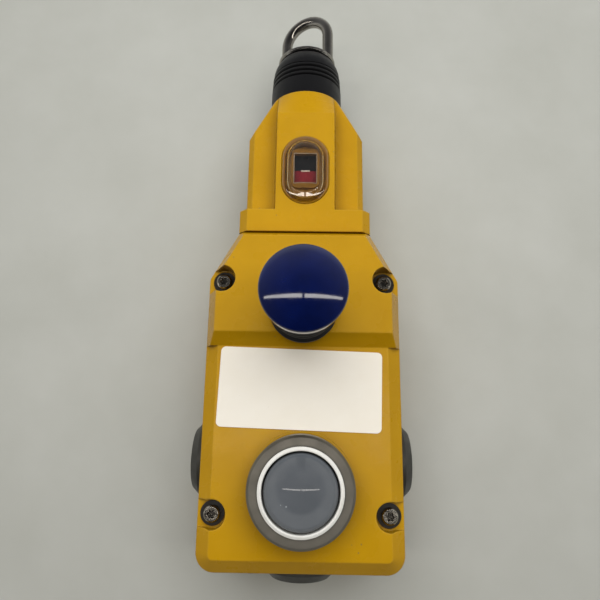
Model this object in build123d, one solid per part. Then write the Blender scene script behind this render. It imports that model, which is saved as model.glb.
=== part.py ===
from build123d import *
import math
import os

# Rope pull switch, lying on its rear mounting face
# +Z out of the lid, +Y along the pull shaft towards the eye, +X to the right
# Origin at the centre of the rear mounting face and of its four tapped holes

# Running and fitting clearances
RUNNING_GAP = 0.05
FIT_GAP = 0.02
BODY_GAP = 0.3
SCREW_CLEARANCE = 0.2
HOLE_END_GAP = 1.0

# Proportions of every screw's head and the six-lobe drive
HEAD_EDGE_SHARE = 0.2
SOCKET_DEPTH_SHARE = 0.55
LOBE_CIRCLE = 1.45
LOBE_RADIUS = 0.45

# Housing outline, taken at the rim of the lid
# Its length follows from the row of parts along the shaft
BODY_WIDTH = 89.0
FRONT_WIDTH = 62.0
BUTTON_SETBACK = 35.55
KNOB_SETBACK = 39.65
SHOULDER_SETBACK = 24.0
CORNER_RADIUS = 8.0
SHOULDER_RADIUS = 4.0
LEAST_CORNER_RADIUS = 1.5
LEAST_SHOULDER_RADIUS = 1.0

# Base casting
BASE_HEIGHT = 45.5
BASE_INSET = 1.0
REAR_CHAMFER = 1.0
WALL = 3.5
FLOOR = 3.5
AXIS_DROP = 17.5

# Rear mounting holes, tapped M5 and blind
MOUNT_SPACING_X = 50.0
MOUNT_SPACING_Y = 100.0
MOUNT_TAP_RADIUS = 2.1
MOUNT_DEPTH = 10.0
MOUNT_BOSS_WALL = 3.4

# Gasket between base and lid
GASKET_THICKNESS = 0.5
GASKET_WIDTH = 2.0
GASKET_INSET = 0.8

# Lid casting
RIM_HEIGHT = 3.0
PANEL_RISE = 5.0
PANEL_BEVEL = 6.1
PLATFORM_RISE = 5.0
PLATFORM_BEVEL = 4.7
STEP_RUN = 6.1
LID_WALL = 3.5
LID_FRONT_GAP = 0.2

# Lid screws, M4 with a six-lobe socket
SCREW_EDGE = 6.5
END_SCREW_SETBACK = 23.7
FRONT_SCREW_OFFSET = 1.7
FRONT_SCREW_INSET = 0.6
SCREW_RADIUS = 2.0
SCREW_LENGTH = 14.0
SCREW_HEAD_RADIUS = 3.5
SCREW_HEAD_HEIGHT = 3.0
WASHER_RADIUS = 5.2
WASHER_THICKNESS = 0.6
POCKET_RADIUS = 6.2
POCKET_WALL = 2.5
POCKET_MOUTH_SHARE = 0.92
SCREW_BOSS_WALL = 3.0

# Front snout, part of the base casting
BAND_LENGTH = 11.5
BAND_WIDTH = 64.0
BAND_BEVEL = 4.0
SNOUT_RISE = 5.5
WING_WIDTH = 60.0
WING_LENGTH = 44.5
WING_RISE = 12.0
WING_DROP = 20.0
WING_BEVEL = 3.0
WING_TIP_SHARE = 0.95
NOSE_LENGTH = 23.0
NOSE_RADIUS = 19.5
RIB_WIDTH = 29.0
RIB_DRAFT = 2.6
RIB_SLOPE_LENGTH = 15.0
RIB_NOSE_RISE = 0.1
SPIGOT_RADIUS = 16.0
SPIGOT_LENGTH = 8.3
SPRING_BORE_RADIUS = 13.5
SPRING_BORE_LENGTH = 62.3
CORE_WIDTH = 7.5
CORE_ROOF = 4.0
CORE_END_WALL = 3.5

# Pull shaft and what it carries
SHAFT_RADIUS = 5.0
SHAFT_TRAVEL = 12.0
TAIL_GRIP = 5.5
TAIL_GAP = 1.2
SHAFT_NECK = 28.0
EYE_STEM_RADIUS = 3.0
EYE_STEM_LENGTH = 17.0
PIN_RADIUS = 1.5
COLLAR_PIN_SHARE = 1.9
LATCH_PIN_SETBACK = 3.75
NUT_ACROSS_FLATS = 15.0
NUT_HEIGHT = 5.0
NUT_SETBACK = 7.0

# Bushes for the shaft
BUSH_WALL = 3.0
BUSH_FLANGE_RADIUS = 12.0
BUSH_FLANGE_THICKNESS = 2.0
REAR_BUSH_LENGTH = 7.0
REAR_FLANGE_RADIUS = 10.0
REAR_FLANGE_THICKNESS = 1.5

# Rear guide bracket
BRACKET_THICKNESS = 3.0
BRACKET_WIDTH = 28.0
BRACKET_RISE = 12.0
BRACKET_HEEL_GAP = 2.2
BRACKET_PAD_HEIGHT = 3.0
BRACKET_SCREW_SPACING = 19.0
BRACKET_SCREW_RADIUS = 1.9
BRACKET_HEAD_RADIUS = 3.4
BRACKET_HEAD_HEIGHT = 2.4

# Tension spring and its collar
COLLAR_RADIUS = 11.0
COLLAR_THICKNESS = 4.0
COLLAR_OFFSET = 8.5
SPRING_MEAN_RADIUS = 9.3
SPRING_WIRE_RADIUS = 1.5
SPRING_TURNS = 7

# Cam and latch blocks on the shaft
CAM_SLOPE = 0.25
CAM_HALF_WIDTH = 10.0
CAM_GAP = 1.5
CAM_LENGTH = 26.0
CAM_HALF_HEIGHT = 9.0
LATCH_WIDTH = 18.0
LATCH_LENGTH = 24.0
LATCH_GAP = 2.0
LATCH_ROOF = 1.5
LATCH_REACH = 14.1
LATCH_SLOT_WIDTH = 9.0
LATCH_SLOT_GAP = 1.0

# Contact blocks beside the cam
BLOCK_CAM_GAP = 2.25
BLOCK_WALL_GAP = 0.5
BLOCK_LENGTH = 34.0
BLOCK_RISE = 10.0
TERMINAL_SHELF_LENGTH = 6.5
TERMINAL_SHELF_DROP = 12.0
TERMINALS_PER_SHELF = 3
TERMINAL_EDGE = 4.25
TERMINAL_HEAD_RADIUS = 2.2
TERMINAL_HEAD_HEIGHT = 1.8
TERMINAL_SHANK_RADIUS = 1.2
TERMINAL_SHANK_LENGTH = 6.0
BLOCK_SCREW_RADIUS = 1.5
BLOCK_SCREW_HEAD_RADIUS = 2.8
BLOCK_SCREW_HEAD_HEIGHT = 2.2
BLOCK_SCREW_BITE = 2.0
BLOCK_SCREW_OFFSET_Y = 7.6
BLOCK_SCREW_EDGE = 3.2
PLUNGER_RADIUS = 2.5
PLUNGER_LENGTH = 12.0

# Conduit entries, M20, and their blanking plugs
ENTRY_RADIUS = 10.0
ENTRY_BOSS_WALL = 3.5
ENTRY_BOSS_LENGTH = 4.0
SIDE_ENTRY_OFFSET = 8.7
PLUG_RADIUS = 17.1
PLUG_HEAD = 5.8
PLUG_BEVEL = 3.4
PLUG_SHANK_LENGTH = 9.0
PLUG_SLOT_WIDTH = 2.6
PLUG_SLOT_LENGTH = 20.0
PLUG_SLOT_DEPTH = 1.2
SEAL_THICKNESS = 1.0
SEAL_RADIUS = 13.5

# Shaft boot
BOOT_RADIUS = 19.3
BOOT_SLEEVE_LENGTH = 9.6
BOOT_RIBS = 4
BOOT_RIB_PITCH = 3.1
BOOT_RIB_DEPTH = 1.8
BOOT_RIB_TAPER = 0.45
BOOT_GROOVE_SHARE = 0.25
BOOT_CREST_SHARE = 0.6
BOOT_NECK_RADIUS = 15.3
BOOT_WALL = 2.2
BOOT_LIP = 1.3

# Rope eye
EYE_DISC_RADIUS = 16.0
EYE_DISC_THICKNESS = 2.7
EYE_DISC_BACK_CHAMFER = 0.6
EYE_DISC_FRONT_CHAMFER = 0.9
EYE_BAR_RADIUS = 3.0
EYE_MEAN_RADIUS = 12.85
EYE_LEG_LENGTH = 14.5
EYE_TURN = -25.0

# Indicator window
WINDOW_LENGTH = 36.0
WINDOW_WIDTH = 23.3
WINDOW_SETBACK = 32.45
WINDOW_GAP = 0.3
WINDOW_RECESS = 2.0
WINDOW_LEDGE = 2.2
WINDOW_SEAL_THICKNESS = 0.4
LENS_RIM = 2.2
LENS_DOME = 3.0
LENS_DOME_INSET = 2.6
LENS_WALL = 1.6
LENS_FOOT = 2.2
FRAME_PLATE_THICKNESS = 1.0
FRAME_RISE = 1.5
FRAME_WIDTH = 14.2
FRAME_LENGTH = 20.8
FRAME_CORNER_RADIUS = 2.5
FRAME_OPENING_WIDTH = 10.4
FRAME_OPENING_LENGTH = 15.6
FRAME_CENTRE_OFFSET = 3.0

# Indicator flag on the spring collar
CHANNEL_WIDTH = 15.0
CHANNEL_DEPTH = 7.0
FLAG_WIDTH = 13.6
FLAG_THICKNESS = 1.2
FLAG_DROP = 3.0
FLAG_LENGTH = 40.0
FLAG_LEG_WIDTH = 8.0
FLAG_LEG_THICKNESS = 3.0
TILE_THICKNESS = 0.6
TILE_LENGTH = 8.0
GREEN_TILE_LENGTH = 11.0

# Reset knob
KNOB_RADIUS = 17.0
KNOB_RIM_HEIGHT = 41.0
KNOB_SKIRT = 8.0
KNOB_SKIRT_BEVEL = 3.4
KNOB_DOME = 5.0
KNOB_RECESS_RADIUS = 8.0
KNOB_RECESS_DEPTH = 5.0
KNOB_TRAVEL = 6.0
STEM_RADIUS = 3.0
STEM_SOCKET_DEPTH = 3.0
STEM_GAP = 2.0
STEM_SLOT_RELIEF = 1.5
CLIP_RADIUS = 5.0
CLIP_THICKNESS = 1.0
GUIDE_RADIUS = 8.0
GUIDE_LENGTH = 12.0
GUIDE_FLANGE_RADIUS = 10.5
GUIDE_FLANGE_THICKNESS = 1.2
GUIDE_NUT_FLATS = 20.0
GUIDE_NUT_HEIGHT = 4.0
GUIDE_NUT_ROOM = 0.35
KNOB_SPRING_RADIUS = 5.6
KNOB_SPRING_WIRE = 0.7
KNOB_SPRING_TURNS = 7
BELLOWS_BASE_RADIUS = 15.4
BELLOWS_BASE_THICKNESS = 2.0
BELLOWS_RADIUS = 14.2
BELLOWS_FOLDS = 6
BELLOWS_FOLD_DEPTH = 2.8
BELLOWS_WALL = 1.3
BELLOWS_VALLEY_SHARE = 0.15
BELLOWS_CREST_SHARE = 0.5
BELLOWS_CREST_END_SHARE = 0.65
BELLOWS_INNER_CREST_SHARE = 0.55

# Grey push button
PAD_MARGIN = 1.0
PAD_RISE = 1.0
BEZEL_RADIUS = 22.0
BEZEL_HEIGHT = 13.0
BEZEL_RING_SEAT = 17.5
BEZEL_CHAMFER = 1.0
RING_INNER_RADIUS = 15.8
RING_PROUD = 1.2
RING_CHAMFER = 0.4
CAP_RADIUS = 15.0
CAP_PROUD = 0.6
CAP_SKIRT = 9.0
CAP_WALL = 2.0
CAP_ROOF = 3.0
CAP_EDGE = [(0.0, 1.5), (0.5, 0.8), (1.5, 0.4), (4.0, 0.2)]
CAP_TRAVEL = 3.5
BARREL_RADIUS = 14.5
BARREL_FLANGE = 2.0
BARREL_DEPTH = 17.0
BUTTON_SEAL_THICKNESS = 1.0
BUTTON_SEAL_SETBACK = 0.5
BUTTON_NUT_WALL = 3.5
BUTTON_NUT_HEIGHT = 4.5
BUTTON_PLUNGER_RADIUS = 6.0
BUTTON_PLUNGER_REACH = 2.0
BUTTON_SPRING_RADIUS = 9.0
BUTTON_SPRING_WIRE = 0.8
BUTTON_SPRING_TURNS = 3
BUTTON_BLOCK_WIDTH = 28.0
BUTTON_BLOCK_LENGTH = 28.0

# Rating label, left bare
LABEL_SIDE_GAP = 2.15
LABEL_THICKNESS = 0.3
LABEL_RADIUS = 2.2
LABEL_CENTRE_X = -1.0
LABEL_TURN = -1.6

# Earth terminal
EARTH_SIDE_GAP = 14.0
EARTH_SETBACK = 12.5
EARTH_BOSS_RADIUS = 5.0
EARTH_BOSS_HEIGHT = 8.0
EARTH_SCREW_RADIUS = 2.0
EARTH_SCREW_LENGTH = 6.0
EARTH_HEAD_RADIUS = 3.6
EARTH_HEAD_HEIGHT = 2.6
EARTH_WASHER_RADIUS = 4.6
EARTH_WASHER_THICKNESS = 0.8

# Heights worked out from the sizes above
AXIS_HEIGHT = BASE_HEIGHT - AXIS_DROP
WING_TOP = AXIS_HEIGHT + WING_RISE
WING_BOTTOM = AXIS_HEIGHT - WING_DROP
SNOUT_TOP = BASE_HEIGHT + SNOUT_RISE
CHANNEL_TOP = SNOUT_TOP - CHANNEL_DEPTH
LID_Z = BASE_HEIGHT + GASKET_THICKNESS
RIM_Z = LID_Z + RIM_HEIGHT
PANEL_Z = RIM_Z + PANEL_RISE
PLATFORM_Z = PANEL_Z + PLATFORM_RISE
PAD_Z = PANEL_Z + PAD_RISE

# Row of parts along the shaft, from the button to the knob, which sets the housing's length
BLOCK_TO_BUSH = TAIL_GAP + SHAFT_TRAVEL + TAIL_GRIP
CAM_TO_KNOB = CAM_LENGTH + LATCH_GAP + LATCH_REACH
BUTTON_TO_KNOB = BUTTON_BLOCK_LENGTH / 2 + BLOCK_TO_BUSH + CAM_GAP + CAM_TO_KNOB
BODY_LENGTH = BUTTON_SETBACK + BUTTON_TO_KNOB + KNOB_SETBACK

# Places along the switch, from the end wall to the tip of the snout
FRONT_Y = BODY_LENGTH / 2
END_Y = -BODY_LENGTH / 2
BUTTON_Y = END_Y + BUTTON_SETBACK
BUTTON_BLOCK_FRONT_Y = BUTTON_Y + BUTTON_BLOCK_LENGTH / 2
SHAFT_TAIL_Y = BUTTON_BLOCK_FRONT_Y + TAIL_GAP
REAR_BUSH_FRONT_Y = BUTTON_BLOCK_FRONT_Y + BLOCK_TO_BUSH
BRACKET_FRONT_Y = REAR_BUSH_FRONT_Y - REAR_FLANGE_THICKNESS
BRACKET_HEEL_Y = BUTTON_BLOCK_FRONT_Y + BRACKET_HEEL_GAP
SIDE_ENTRY_Y = BUTTON_Y + SIDE_ENTRY_OFFSET
CAM_REAR_Y = REAR_BUSH_FRONT_Y + CAM_GAP
BLOCK_CENTRE_Y = CAM_REAR_Y + (CAM_LENGTH + SHAFT_TRAVEL) / 2
KNOB_Y = FRONT_Y - KNOB_SETBACK
SHOULDER_Y = FRONT_Y - SHOULDER_SETBACK
STEP_TOP_Y = KNOB_Y - GUIDE_NUT_FLATS / 2 - GUIDE_NUT_ROOM
STEP_FOOT_Y = STEP_TOP_Y - STEP_RUN
BAND_Y = FRONT_Y + BAND_LENGTH
WING_Y = BAND_Y + WING_LENGTH
NOSE_Y = WING_Y + NOSE_LENGTH
SPIGOT_Y = NOSE_Y + SPIGOT_LENGTH
INNER_FRONT_Y = FRONT_Y - BASE_INSET - WALL
SPRING_SEAT_Y = FRONT_Y + SPRING_BORE_LENGTH
SHAFT_END_Y = NOSE_Y + SHAFT_NECK
EYE_DISC_Y = SHAFT_END_Y + BODY_GAP
COLLAR_Y = FRONT_Y + COLLAR_OFFSET
WINDOW_CENTRE_Y = FRONT_Y + WINDOW_SETBACK
WALL_X = BODY_WIDTH / 2 - BASE_INSET
INNER_X = WALL_X - WALL
WALL_END_Y = END_Y + BASE_INSET
PAD_RADIUS = BEZEL_RADIUS + PAD_MARGIN
LABEL_WIDTH = BODY_WIDTH - 2 * (PANEL_BEVEL + LABEL_SIDE_GAP)

SCREW_X = BODY_WIDTH / 2 - SCREW_EDGE
SCREW_ROWS = [
    (SCREW_X, END_Y + END_SCREW_SETBACK),
    (SCREW_X - FRONT_SCREW_INSET, SHOULDER_Y - FRONT_SCREW_OFFSET),
]
SCREW_PLACES = [(side * x, y) for side in (-1, 1) for x, y in SCREW_ROWS]


def cylinder_between(radius, low, high, x=0.0, y=0.0):
    """Upright cylinder from one height to another."""
    return Pos(x, y, (low + high) / 2) * Cylinder(radius, high - low)


def shaft_cylinder(radius, start, end):
    """Cylinder round the shaft's axis, from one place along it to another."""
    return along_shaft(cylinder_between(radius, 0, end - start), start)


def along_shaft(solid, y):
    """Lays a solid built along +Z on the shaft's axis, pointing to the eye."""
    return Pos(0, y, AXIS_HEIGHT) * Rot(-90, 0, 0) * solid


def block_between(x, y, z):
    """Box from three pairs of limits."""
    centre = [(low + high) / 2 for low, high in (x, y, z)]
    sizes = [high - low for low, high in (x, y, z)]
    return Pos(*centre) * Box(*sizes)


def turned(points):
    """Solid of revolution round +Z from (radius, height) points."""
    return revolve(Plane.XZ * Polygon(*points, align=None), axis=Axis.Z)


def ring_between(outer, inner, low, high, x=0.0, y=0.0):
    """Upright ring from one height to another."""
    return cylinder_between(outer, low, high, x, y) - cylinder_between(inner, low, high, x, y)


def coil_spring(mean_radius, wire_radius, length, turns):
    """Helical spring standing on z = 0 with the given overall length."""
    rise = length - 2 * wire_radius
    helix = Helix(pitch=rise / turns, height=rise, radius=mean_radius)
    wire = Plane(origin=helix @ 0, z_dir=helix % 0) * Circle(wire_radius)
    return Pos(0, 0, wire_radius) * sweep(wire, path=helix, is_frenet=True)


def six_lobe_socket(depth):
    """Cutter for a six-lobe drive, below z = 0."""
    profile = Circle(LOBE_CIRCLE) + PolarLocations(LOBE_CIRCLE, 6) * Circle(LOBE_RADIUS)
    return extrude(profile, -depth)


def pan_screw(radius, length, head_radius, head_height):
    """Screw with its head's underside at z = 0 and its shank below."""
    head = cylinder_between(head_radius, 0, head_height)
    head = chamfer(head.edges().group_by(Axis.Z)[-1], head_height * HEAD_EDGE_SHARE)
    socket = Pos(0, 0, head_height) * six_lobe_socket(head_height * SOCKET_DEPTH_SHARE)
    return head - socket + cylinder_between(radius, -length, 0)


# Housing

def housing_outline(inset):
    """Plan of the housing, drawn in from the lid's rim by the inset."""
    half = BODY_WIDTH / 2
    corners = [
        (-half, END_Y),
        (half, END_Y),
        (half, SHOULDER_Y),
        (FRONT_WIDTH / 2, FRONT_Y),
        (-FRONT_WIDTH / 2, FRONT_Y),
        (-half, SHOULDER_Y),
    ]
    plan = Polygon(*corners, align=None)
    if inset > 0:
        plan = offset(plan, -inset, kind=Kind.INTERSECTION)
    by_y = plan.vertices().sort_by(Axis.Y)
    plan = fillet(by_y[:2], max(CORNER_RADIUS - inset, LEAST_CORNER_RADIUS))
    upper = plan.vertices().sort_by(Axis.Y)[4:]
    return fillet(upper, max(SHOULDER_RADIUS - inset, LEAST_SHOULDER_RADIUS))


def outline_prism(inset, low, high):
    """Upright prism on the housing's plan."""
    return extrude(Pos(0, 0, low) * housing_outline(inset), high - low)


def outline_taper(low_inset, low, high_inset, high):
    """Tapered block between two drawn-in plans of the housing."""
    lower = Pos(0, 0, low) * housing_outline(low_inset)
    upper = Pos(0, 0, high) * housing_outline(high_inset)
    return loft([lower, upper], ruled=True)


def snout():
    """Outer form of the snout: cross band, wings, nose, spigot and the raised rib."""
    half_band = BAND_WIDTH / 2
    start = INNER_FRONT_Y
    band_section = Polygon(
        (-half_band, REAR_CHAMFER),
        (half_band, REAR_CHAMFER),
        (half_band, SNOUT_TOP - BAND_BEVEL),
        (half_band - BAND_BEVEL, SNOUT_TOP),
        (-half_band + BAND_BEVEL, SNOUT_TOP),
        (-half_band, SNOUT_TOP - BAND_BEVEL),
        align=None,
    )
    band = Pos(0, BAND_Y, 0) * extrude(Plane.XZ * band_section, BAND_Y - start)
    half_wing = WING_WIDTH / 2
    half_tip = NOSE_RADIUS * WING_TIP_SHARE
    wing_plan = Polygon(
        (-half_wing, start),
        (half_wing, start),
        (half_wing, WING_Y),
        (half_tip, NOSE_Y),
        (-half_tip, NOSE_Y),
        (-half_wing, WING_Y),
        align=None,
    )
    wing_section = Polygon(
        (-half_wing, WING_BOTTOM + WING_BEVEL),
        (-half_wing + WING_BEVEL, WING_BOTTOM),
        (half_wing - WING_BEVEL, WING_BOTTOM),
        (half_wing, WING_BOTTOM + WING_BEVEL),
        (half_wing, WING_TOP - WING_BEVEL),
        (half_wing - WING_BEVEL, WING_TOP),
        (-half_wing + WING_BEVEL, WING_TOP),
        (-half_wing, WING_TOP - WING_BEVEL),
        align=None,
    )
    wings = extrude(Pos(0, 0, WING_BOTTOM) * wing_plan, WING_TOP - WING_BOTTOM)
    wings &= Pos(0, NOSE_Y, 0) * extrude(Plane.XZ * wing_section, NOSE_Y - start)
    wings &= nose_envelope(start)
    nose = shaft_cylinder(NOSE_RADIUS, WING_Y, NOSE_Y)
    spigot = shaft_cylinder(SPIGOT_RADIUS, NOSE_Y, SPIGOT_Y)
    lid_room = block_between(
        (-half_band, half_band),
        (start, FRONT_Y + LID_FRONT_GAP),
        (BASE_HEIGHT, SNOUT_TOP),
    )
    return band + wings + rib(start) + nose + spigot - lid_room


def nose_envelope(start):
    """Round bar whose tapered end blends the wings into the nose, more gently underneath."""
    upper = math.hypot(WING_WIDTH / 2, WING_RISE - WING_BEVEL) + RUNNING_GAP
    lower = math.hypot(WING_WIDTH / 2, WING_DROP) + RUNNING_GAP
    underside = block_between((-lower, lower), (start, NOSE_Y), (AXIS_HEIGHT - lower, AXIS_HEIGHT))
    tapers = []
    for radius in (upper, lower):
        cone = Pos(0, 0, NOSE_LENGTH / 2) * Cone(radius, NOSE_RADIUS, NOSE_LENGTH)
        tapers.append(along_shaft(cone, WING_Y))
    return shaft_cylinder(lower, start, WING_Y) + (tapers[0] - underside) + (tapers[1] & underside)


def rib_section(y, crown, shoulder):
    """Section of the rib at a place along the shaft, from the heights of its crown and shoulders."""
    half = RIB_WIDTH / 2
    foot = half + RIB_DRAFT
    sides = Polyline((half, shoulder), (foot, AXIS_HEIGHT), (-foot, AXIS_HEIGHT), (-half, shoulder))
    if crown > shoulder:
        top = ThreePointArc((-half, shoulder), (0, crown), (half, shoulder))
    else:
        top = Line((-half, shoulder), (half, shoulder))
    return Pos(0, y, 0) * (Plane.XZ * make_face(sides + top))


def rib(start):
    """Raised rib of the snout, flat round the window and rounded down to the nose."""
    slope_y = NOSE_Y - RIB_SLOPE_LENGTH
    radius = NOSE_RADIUS + RIB_NOSE_RISE
    shoulder = AXIS_HEIGHT + math.sqrt(radius**2 - (RIB_WIDTH / 2) ** 2)
    flat = rib_section(slope_y, SNOUT_TOP, SNOUT_TOP)
    tip = rib_section(NOSE_Y, AXIS_HEIGHT + radius, shoulder)
    return extrude(flat, slope_y - start, dir=(0, -1, 0)) + loft([flat, tip], ruled=True)


def housing_base():
    """Die-cast base with the snout, its bosses, bores and tapped holes."""
    body = outline_taper(BASE_INSET + REAR_CHAMFER, 0, BASE_INSET, REAR_CHAMFER)
    body += outline_prism(BASE_INSET, REAR_CHAMFER, BASE_HEIGHT)
    body += snout()
    body -= outline_prism(BASE_INSET + WALL, FLOOR, BASE_HEIGHT)
    inside = outline_prism(BASE_INSET + WALL / 2, FLOOR, BASE_HEIGHT)
    boss_radius = SCREW_RADIUS + SCREW_BOSS_WALL
    for x, y in SCREW_PLACES:
        body += cylinder_between(boss_radius, FLOOR, BASE_HEIGHT, x, y) & inside
    for x, y in mount_places():
        boss_top = MOUNT_DEPTH + FLOOR / 2
        body += cylinder_between(MOUNT_TAP_RADIUS + MOUNT_BOSS_WALL, FLOOR, boss_top, x, y)
    pad_half = BRACKET_WIDTH / 2
    body += block_between(
        (-pad_half, pad_half),
        (BRACKET_HEEL_Y, BRACKET_FRONT_Y),
        (FLOOR, FLOOR + BRACKET_PAD_HEIGHT),
    )
    body += cylinder_between(EARTH_BOSS_RADIUS, FLOOR, EARTH_BOSS_HEIGHT, *earth_place())
    boss_end = -WALL - ENTRY_BOSS_LENGTH
    for place in entry_places():
        body += place * cylinder_between(ENTRY_RADIUS + ENTRY_BOSS_WALL, boss_end, -WALL / 2)
    for place in entry_places():
        body -= place * cylinder_between(ENTRY_RADIUS, boss_end, 0)
    for pocket in core_pockets():
        body -= pocket
    body -= shaft_cylinder(SPRING_BORE_RADIUS, INNER_FRONT_Y, SPRING_SEAT_Y)
    body -= shaft_cylinder(SHAFT_RADIUS + BUSH_WALL + FIT_GAP, SPRING_SEAT_Y, SPIGOT_Y)
    half_channel = CHANNEL_WIDTH / 2
    body -= block_between(
        (-half_channel, half_channel),
        (INNER_FRONT_Y, SPRING_SEAT_Y),
        (AXIS_HEIGHT + COLLAR_RADIUS / 2, CHANNEL_TOP),
    )
    body -= window_prism(-WINDOW_GAP, SNOUT_TOP - WINDOW_RECESS, SNOUT_TOP)
    body -= window_prism(WINDOW_LEDGE, CHANNEL_TOP, SNOUT_TOP - WINDOW_RECESS)
    for x, y in SCREW_PLACES:
        body -= cylinder_between(SCREW_RADIUS + FIT_GAP, BASE_HEIGHT - SCREW_LENGTH, BASE_HEIGHT, x, y)
    for x, y in mount_places():
        body -= cylinder_between(MOUNT_TAP_RADIUS, 0, MOUNT_DEPTH, x, y)
    for x, y in bracket_screw_places():
        body -= cylinder_between(BRACKET_SCREW_RADIUS, FLOOR / 2, FLOOR + BRACKET_PAD_HEIGHT, x, y)
    for x, y, _ in block_screw_places():
        body -= cylinder_between(BLOCK_SCREW_RADIUS, FLOOR - BLOCK_SCREW_BITE, FLOOR, x, y)
    earth_hole = EARTH_BOSS_HEIGHT - EARTH_SCREW_LENGTH + EARTH_WASHER_THICKNESS
    body -= cylinder_between(EARTH_SCREW_RADIUS, earth_hole, EARTH_BOSS_HEIGHT, *earth_place())
    return body


def core_pockets():
    """Cored pockets in the wings, open to the rear, that keep the casting's walls even."""
    outer = WING_WIDTH / 2 - WALL
    pockets = []
    for side in (-1, 1):
        x = sorted((side * outer, side * (outer - CORE_WIDTH)))
        y = (BAND_Y + CORE_END_WALL, WING_Y - CORE_END_WALL)
        pockets.append(block_between(x, y, (WING_BOTTOM, WING_TOP - WING_BEVEL - CORE_ROOF)))
    return pockets


def mount_places():
    """Centres of the four tapped holes in the rear face."""
    return [
        (x * MOUNT_SPACING_X / 2, y * MOUNT_SPACING_Y / 2)
        for x in (-1, 1)
        for y in (-1, 1)
    ]


def lid():
    """Die-cast lid: rim, bevelled label panel, raised platform, screw pockets and button pad."""
    body = outline_prism(0, LID_Z, RIM_Z)
    body += outline_taper(0, RIM_Z, PANEL_BEVEL, PANEL_Z)
    platform = outline_taper(0, RIM_Z, PLATFORM_BEVEL, PLATFORM_Z)
    platform_side = Polygon(
        (STEP_FOOT_Y, RIM_Z),
        (FRONT_Y, RIM_Z),
        (FRONT_Y, PLATFORM_Z),
        (STEP_TOP_Y, PLATFORM_Z),
        (STEP_FOOT_Y, PANEL_Z),
        align=None,
    )
    platform &= Pos(-BODY_WIDTH / 2, 0, 0) * extrude(Plane.YZ * platform_side, BODY_WIDTH)
    body += platform
    body += cylinder_between(PAD_RADIUS, PANEL_Z - LID_WALL / 2, PAD_Z, 0, BUTTON_Y)
    body -= outline_prism(PANEL_BEVEL, LID_Z, PANEL_Z - LID_WALL)
    platform_room = outline_prism(PLATFORM_BEVEL + LID_WALL, LID_Z, PLATFORM_Z - LID_WALL)
    half = BODY_WIDTH / 2
    body -= platform_room & block_between((-half, half), (STEP_TOP_Y, FRONT_Y), (LID_Z, PLATFORM_Z))
    shell = outline_prism(BASE_INSET + GASKET_INSET + GASKET_WIDTH, LID_Z, PANEL_Z)
    for x, y in SCREW_PLACES:
        body += cylinder_between(POCKET_RADIUS + POCKET_WALL, LID_Z, PANEL_Z - LID_WALL / 2, x, y) & shell
    for x, y in SCREW_PLACES:
        body -= cylinder_between(POCKET_RADIUS, RIM_Z, PLATFORM_Z, x, y)
        body -= cylinder_between(SCREW_RADIUS + SCREW_CLEARANCE, LID_Z, RIM_Z, x, y)
        edge = math.copysign(half, x)
        reach = sorted((x, edge))
        width = POCKET_RADIUS * POCKET_MOUTH_SHARE
        body -= block_between(reach, (y - width, y + width), (RIM_Z, PLATFORM_Z))
    body -= cylinder_between(GUIDE_RADIUS + FIT_GAP, LID_Z, PLATFORM_Z, 0, KNOB_Y)
    body -= cylinder_between(BARREL_RADIUS + FIT_GAP, LID_Z, PAD_Z, 0, BUTTON_Y)
    return body


def lid_gasket():
    """Flat gasket between the base and the lid."""
    inset = BASE_INSET + GASKET_INSET
    outer = outline_prism(inset, BASE_HEIGHT, LID_Z)
    return outer - outline_prism(inset + GASKET_WIDTH, BASE_HEIGHT, LID_Z)


def lid_screws():
    """Four M4 screws that hold the lid."""
    seat = RIM_Z + WASHER_THICKNESS
    length = SCREW_LENGTH + seat - BASE_HEIGHT - HOLE_END_GAP
    screw = pan_screw(SCREW_RADIUS, length, SCREW_HEAD_RADIUS, SCREW_HEAD_HEIGHT)
    return [Pos(x, y, seat) * screw for x, y in SCREW_PLACES]


def lid_screw_washers():
    """Dark washer under each lid screw's head."""
    inner = SCREW_RADIUS + SCREW_CLEARANCE
    top = RIM_Z + WASHER_THICKNESS
    return [ring_between(WASHER_RADIUS, inner, RIM_Z, top, x, y) for x, y in SCREW_PLACES]


def rating_label():
    """Bare label on the panel, stuck on slightly askew between the button's pad and the step."""
    skew = LABEL_WIDTH / 2 * math.sin(math.radians(abs(LABEL_TURN)))
    low = BUTTON_Y + PAD_RADIUS + BODY_GAP
    high = STEP_FOOT_Y - skew - BODY_GAP
    plan = Rot(0, 0, LABEL_TURN) * RectangleRounded(LABEL_WIDTH, high - low, LABEL_RADIUS)
    return extrude(Pos(LABEL_CENTRE_X, (low + high) / 2, PANEL_Z) * plan, LABEL_THICKNESS)


def earth_place():
    """Centre of the earth terminal."""
    return EARTH_SIDE_GAP - INNER_X, END_Y + EARTH_SETBACK


def earth_washer():
    """Saddle washer of the earth terminal."""
    top = EARTH_BOSS_HEIGHT + EARTH_WASHER_THICKNESS
    inner = EARTH_SCREW_RADIUS + FIT_GAP
    return ring_between(EARTH_WASHER_RADIUS, inner, EARTH_BOSS_HEIGHT, top, *earth_place())


def earth_screw():
    """Screw of the earth terminal."""
    x, y = earth_place()
    seat = EARTH_BOSS_HEIGHT + EARTH_WASHER_THICKNESS
    screw = pan_screw(EARTH_SCREW_RADIUS, EARTH_SCREW_LENGTH, EARTH_HEAD_RADIUS, EARTH_HEAD_HEIGHT)
    return Pos(x, y, seat) * screw


# Conduit entries

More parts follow.
